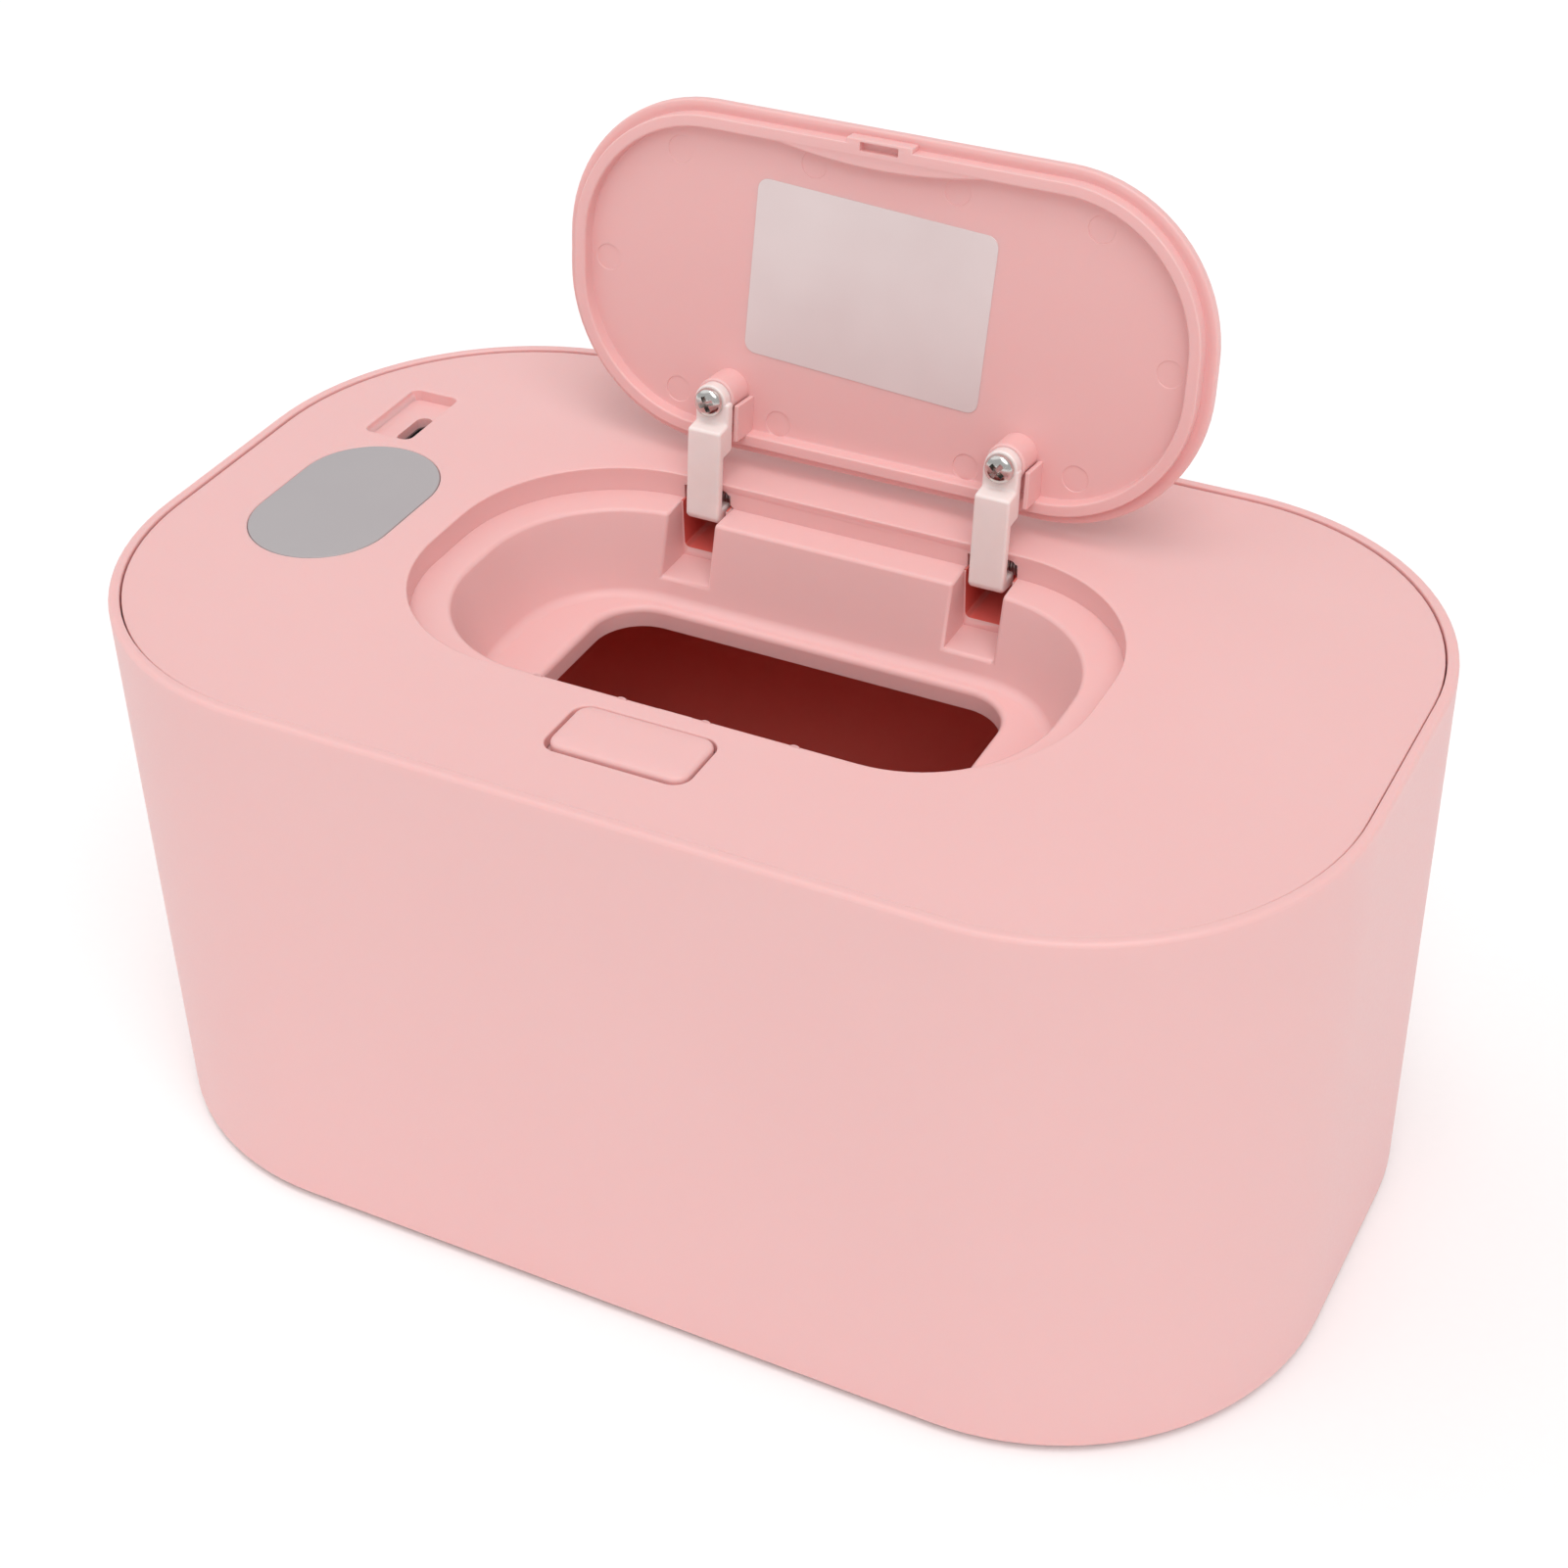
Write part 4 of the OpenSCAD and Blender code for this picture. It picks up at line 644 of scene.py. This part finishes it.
def makeArm(name, node, x, s, shift=0):  # the bar may sit a little to one side of its screw
    half = s["width"] / 2
    bar = bmesh.new()
    verts = [bmesh.ops.create_vert(bar, co=((shift - half) * mm, y * mm, z * mm))["vert"][0] for y, z in s["outline"]]
    edges = [bar.edges.new(pair) for pair in zip(verts, verts[1:] + verts[:1])]
    side = bmesh.ops.contextual_create(bar, geom=edges)["faces"]
    grown = bmesh.ops.extrude_face_region(bar, geom=side)["geom"]
    bmesh.ops.translate(bar, vec=(s["width"] * mm, 0, 0), verts=[v for v in grown if isinstance(v, bmesh.types.BMVert)])
    bmesh.ops.recalc_face_normals(bar, faces=bar.faces)
    bmesh.ops.bevel(bar, geom=bar.edges[:], offset=s["round"] * mm, affect="EDGES", segments=3, profile=0.5, material=-1)
    eyelet = bmesh.new()
    low, high = s["eyelet"]
    ring = [(0, low), (s["eyeletR"], low), (s["eyeletR"], high - 0.25), (s["eyeletR"] - 0.25, high), (0, high)]
    addTurned(eyelet, ring, Matrix.Translation((0, screwY * mm, 0)), 48)
    bar = combine(bar, eyelet, "UNION")
    room = bmesh.new()  # space for the spring beside the hub
    addBox(room, (s["hubX"] + s["hubWidth"] / 2, s["hubY"] - 3, s["hubZ"] - 3), (half + 2, s["hubY"] + 3, s["hubZ"] + 3))
    bar = combine(bar, room, "DIFFERENCE")
    hub = bmesh.new()
    turn = Matrix.Translation((s["hubX"] * mm, s["hubY"] * mm, s["hubZ"] * mm)) @ Matrix.Rotation(quarter, 4, "Y")
    halfHub = s["hubWidth"] / 2
    drum = [(0, -halfHub), (s["hubR"] - 0.2, -halfHub), (s["hubR"], 0.2 - halfHub), (s["hubR"], halfHub - 0.2),
            (s["hubR"] - 0.2, halfHub), (0, halfHub)]
    addTurned(hub, drum, turn, 48)
    bar = combine(bar, hub, "UNION")
    bore = bmesh.new()
    addTurned(bore, [(0, -6), (s["pinR"], -6), (s["pinR"], 6), (0, 6)], turn, 32)
    bmesh.ops.triangulate(bar, faces=bar.faces)  # the last cut is only clean on triangles
    bar = combine(bar, bore, "DIFFERENCE")
    bmesh.ops.dissolve_degenerate(bar, dist=0.0005 * mm, edges=bar.edges)
    bmesh.ops.transform(bar, matrix=lidPlace @ Matrix.Translation((x * mm, 0, 0)), verts=bar.verts)
    return finishPiece(bar, name, "lid", surfaces["milkyNylon"], [node])


makeArm("hingeArmLeft", "hinge_arm_left", -armX, armSpec, shift=0.4)
makeArm("hingeArmRight", "hinge_arm_right", armX, armSpec)


# Lid screws: pan heads with a cross recess

screwSpec = {"seat": 8.82, "shankR": 1.2, "shankEnd": 2.4,
             "head": [(0, 0), (2.5, 0), (2.6, 0.2), (2.6, 0.6), (2.45, 1.05), (2.1, 1.4), (1.5, 1.65), (0.8, 1.76), (0, 1.8)],
             "crossWidth": 1.05, "crossLength": 3.7, "crossDepth": 1.35, "turns": (24, 52)}


def makeScrews(s):
    whole = bmesh.new()
    for side, turn in zip((-1, 1), s["turns"]):
        screw = bmesh.new()
        addTurned(screw, s["head"], steps=48)
        shank = bmesh.new()
        depth = s["shankEnd"] - s["seat"]
        addTurned(shank, [(0, depth), (s["shankR"] - 0.4, depth), (s["shankR"], depth + 0.5), (s["shankR"], 0.2), (0, 0.2)],
                  steps=32)
        screw = combine(screw, shank, "UNION")
        for angle in (0, 90):
            bar = bmesh.new()
            half = s["crossLength"] / 2
            addBox(bar, (-half, -s["crossWidth"] / 2, 1.8 - s["crossDepth"]), (half, s["crossWidth"] / 2, 2.4))
            for v in bar.verts:  # the recess narrows with its depth
                if v.co.z < 1.5 * mm:
                    v.co.x *= 0.42
                    v.co.y *= 0.6
            bmesh.ops.rotate(bar, verts=bar.verts, cent=(0, 0, 0), matrix=Matrix.Rotation(math.radians(angle), 3, "Z"))
            screw = combine(screw, bar, "DIFFERENCE")
        place = Matrix.Translation((side * armX * mm, screwY * mm, s["seat"] * mm))
        bmesh.ops.transform(screw, matrix=lidPlace @ place @ Matrix.Rotation(math.radians(turn), 4, "Z"), verts=screw.verts)
        part = bpy.data.meshes.new("part")
        screw.to_mesh(part)
        screw.free()
        whole.from_mesh(part)
        bpy.data.meshes.remove(part)
    return finishPiece(whole, "lidScrews", "lid", surfaces["nickelPlate"], ["lid_screws"])


makeScrews(screwSpec)


# Torsion springs beside the hubs

springSpec = {"x": 1.25, "y": 34.8, "z": 100.4, "coilR": 1.6, "wireR": 0.25, "turns": 4, "pitch": 0.55, "legEnd": 39.9}


def makeSprings(s):
    bm = bmesh.new()
    for side in (-1, 1):
        centre = Vector((side * armX + s["x"], s["y"], s["z"])) * mm
        place = Matrix.Translation(centre + Vector((0, 0, -s["coilR"] * mm)))
        wire = bmesh.ops.create_circle(bm, segments=10, radius=s["wireR"] * mm, cap_ends=True,
                                       matrix=place @ Matrix.Rotation(quarter, 4, "X"))["verts"]
        start = list({e for v in wire for e in v.link_edges} | {f for v in wire for f in v.link_faces}) + wire
        steps = s["turns"] * 28
        spun = bmesh.ops.spin(bm, geom=start, cent=centre, axis=(1, 0, 0), angle=2 * math.pi * s["turns"],
                              dvec=(s["pitch"] * s["turns"] / steps * mm, 0, 0), steps=steps)
        ends = [v for v in spun["geom_last"] if isinstance(v, bmesh.types.BMFace)]
        grown = bmesh.ops.extrude_face_region(bm, geom=ends)["geom"]
        bmesh.ops.translate(bm, vec=(0, (s["legEnd"] - s["y"]) * mm, 0),
                            verts=[v for v in grown if isinstance(v, bmesh.types.BMVert)])
        bmesh.ops.delete(bm, geom=ends, context="FACES")
    return finishPiece(bm, "torsionSprings", "cover", surfaces["springSteel"], ["torsion_springs"])


makeSprings(springSpec)


# Blank label on the inside of the lid

labelSpec = {"x": -2.0, "y": 2.4, "turn": -3.3, "halfX": 22.25, "halfY": 15.75, "corner": 2.0, "seat": 1.0, "thick": 0.12}


def makeLabel(s):
    bm = bmesh.new()
    low, high = s["seat"], s["seat"] + s["thick"]
    profile = [(-1.5, low), (0, low), (0, high - 0.04), (-0.04, high), (-1.5, high)]
    addStack(bm, offsetLoops(s["halfX"], s["halfY"], s["corner"], profile), steps=8)
    place = Matrix.Translation((s["x"] * mm, s["y"] * mm, 0)) @ Matrix.Rotation(math.radians(s["turn"]), 4, "Z")
    bmesh.ops.transform(bm, matrix=lidPlace @ place, verts=bm.verts)
    return finishPiece(bm, "lidLabel", "lid", surfaces["satinFilm"], ["lid_sticker"])


makeLabel(labelSpec)
print("hinges and label done")


# Carried-over nodes

carried = {
    "cover_underplate": "tankPolypropylene", "latch_bracket": "deepPinkAndPocketShade",
    "rubber_feet": "blackRubber", "cover_seal": "milkySilicone",
    "underplate_screws": "nickelPlate", "heat_plate_screws": "nickelPlate", "board_screws": "nickelPlate",
    "bracket_screws": "nickelPlate", "hinge_pins": "springSteel",
    "button_springs": "springSteel", "touch_springs": "springSteel",
    "inlet_socket": "stainlessShell", "heat_plate": "rolledAluminium",
    "heater_felt": "needledFelt", "heater_film": "polyimideFilm", "thermal_fuse": "fuseCeramic",
    "temperature_sensor": "blackEpoxy", "display_module": "blackEpoxy", "internal_leads": "redInsulation",
    "control_board": "solderMask", "light_box": "whiteAbs", "latch_slider": "pinkAbs",
}

for node, surface in carried.items():
    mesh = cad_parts[node].data
    mesh.materials.clear()
    mesh.materials.append(surfaces[surface])
print("carried-over nodes dressed:", len(carried))


# Floor and light

def makeStage():
    bm = bmesh.new()
    bmesh.ops.create_grid(bm, x_segments=1, y_segments=1, size=6)
    mesh = bpy.data.meshes.new("floor")
    bm.to_mesh(mesh)
    bm.free()
    material, tree, shader, coord = startMaterial("whitePaperSweep")  # matte studio paper
    fibres = addNode(tree, "TexNoise", {"Vector": coord, "Scale": perMm(2), "Detail": 4})
    colour = addNode(tree, "Mix", {0: fibres.outputs[0], 6: hexColour("#FDFDFD"), 7: hexColour("#FFFFFF")}, data_type="RGBA")
    tree.links.new(colour.outputs[2], shader.inputs["Base Color"])
    shader.inputs["Roughness"].default_value = 0.9
    mesh.materials.append(material)
    floor = bpy.data.objects.new("floor", mesh)
    scene.collection.objects.link(floor)


lamps = {  # wide softboxes, far enough off to light floor and object evenly
    "keyBox": dict(towards=(0.42, -0.50, 0.95), spread=42, power=1.05),
    "topLeftBox": dict(towards=(-0.75, -0.15, 1.0), spread=60, power=0.40),
    "overheadBox": dict(towards=(0.05, -0.12, 1.0), spread=24, power=0.45),
}


def makeLight():
    for name, spec in lamps.items():
        data = bpy.data.lights.new(name, "SUN")
        data.energy, data.angle = spec["power"], math.radians(spec["spread"])
        lamp = bpy.data.objects.new(name, data)
        lamp.location = spec["towards"]
        lamp.rotation_euler = (-lamp.location).to_track_quat("-Z", "Y").to_euler()
        scene.collection.objects.link(lamp)
    world = bpy.data.worlds.new("studio")
    world.use_nodes = True
    world.node_tree.nodes["Background"].inputs[0].default_value = (1, 1, 1, 1)
    world.node_tree.nodes["Background"].inputs[1].default_value = 0.555
    scene.world = world
    scene.view_settings.view_transform = "Standard"


makeStage()
makeLight()
print("stage ready")
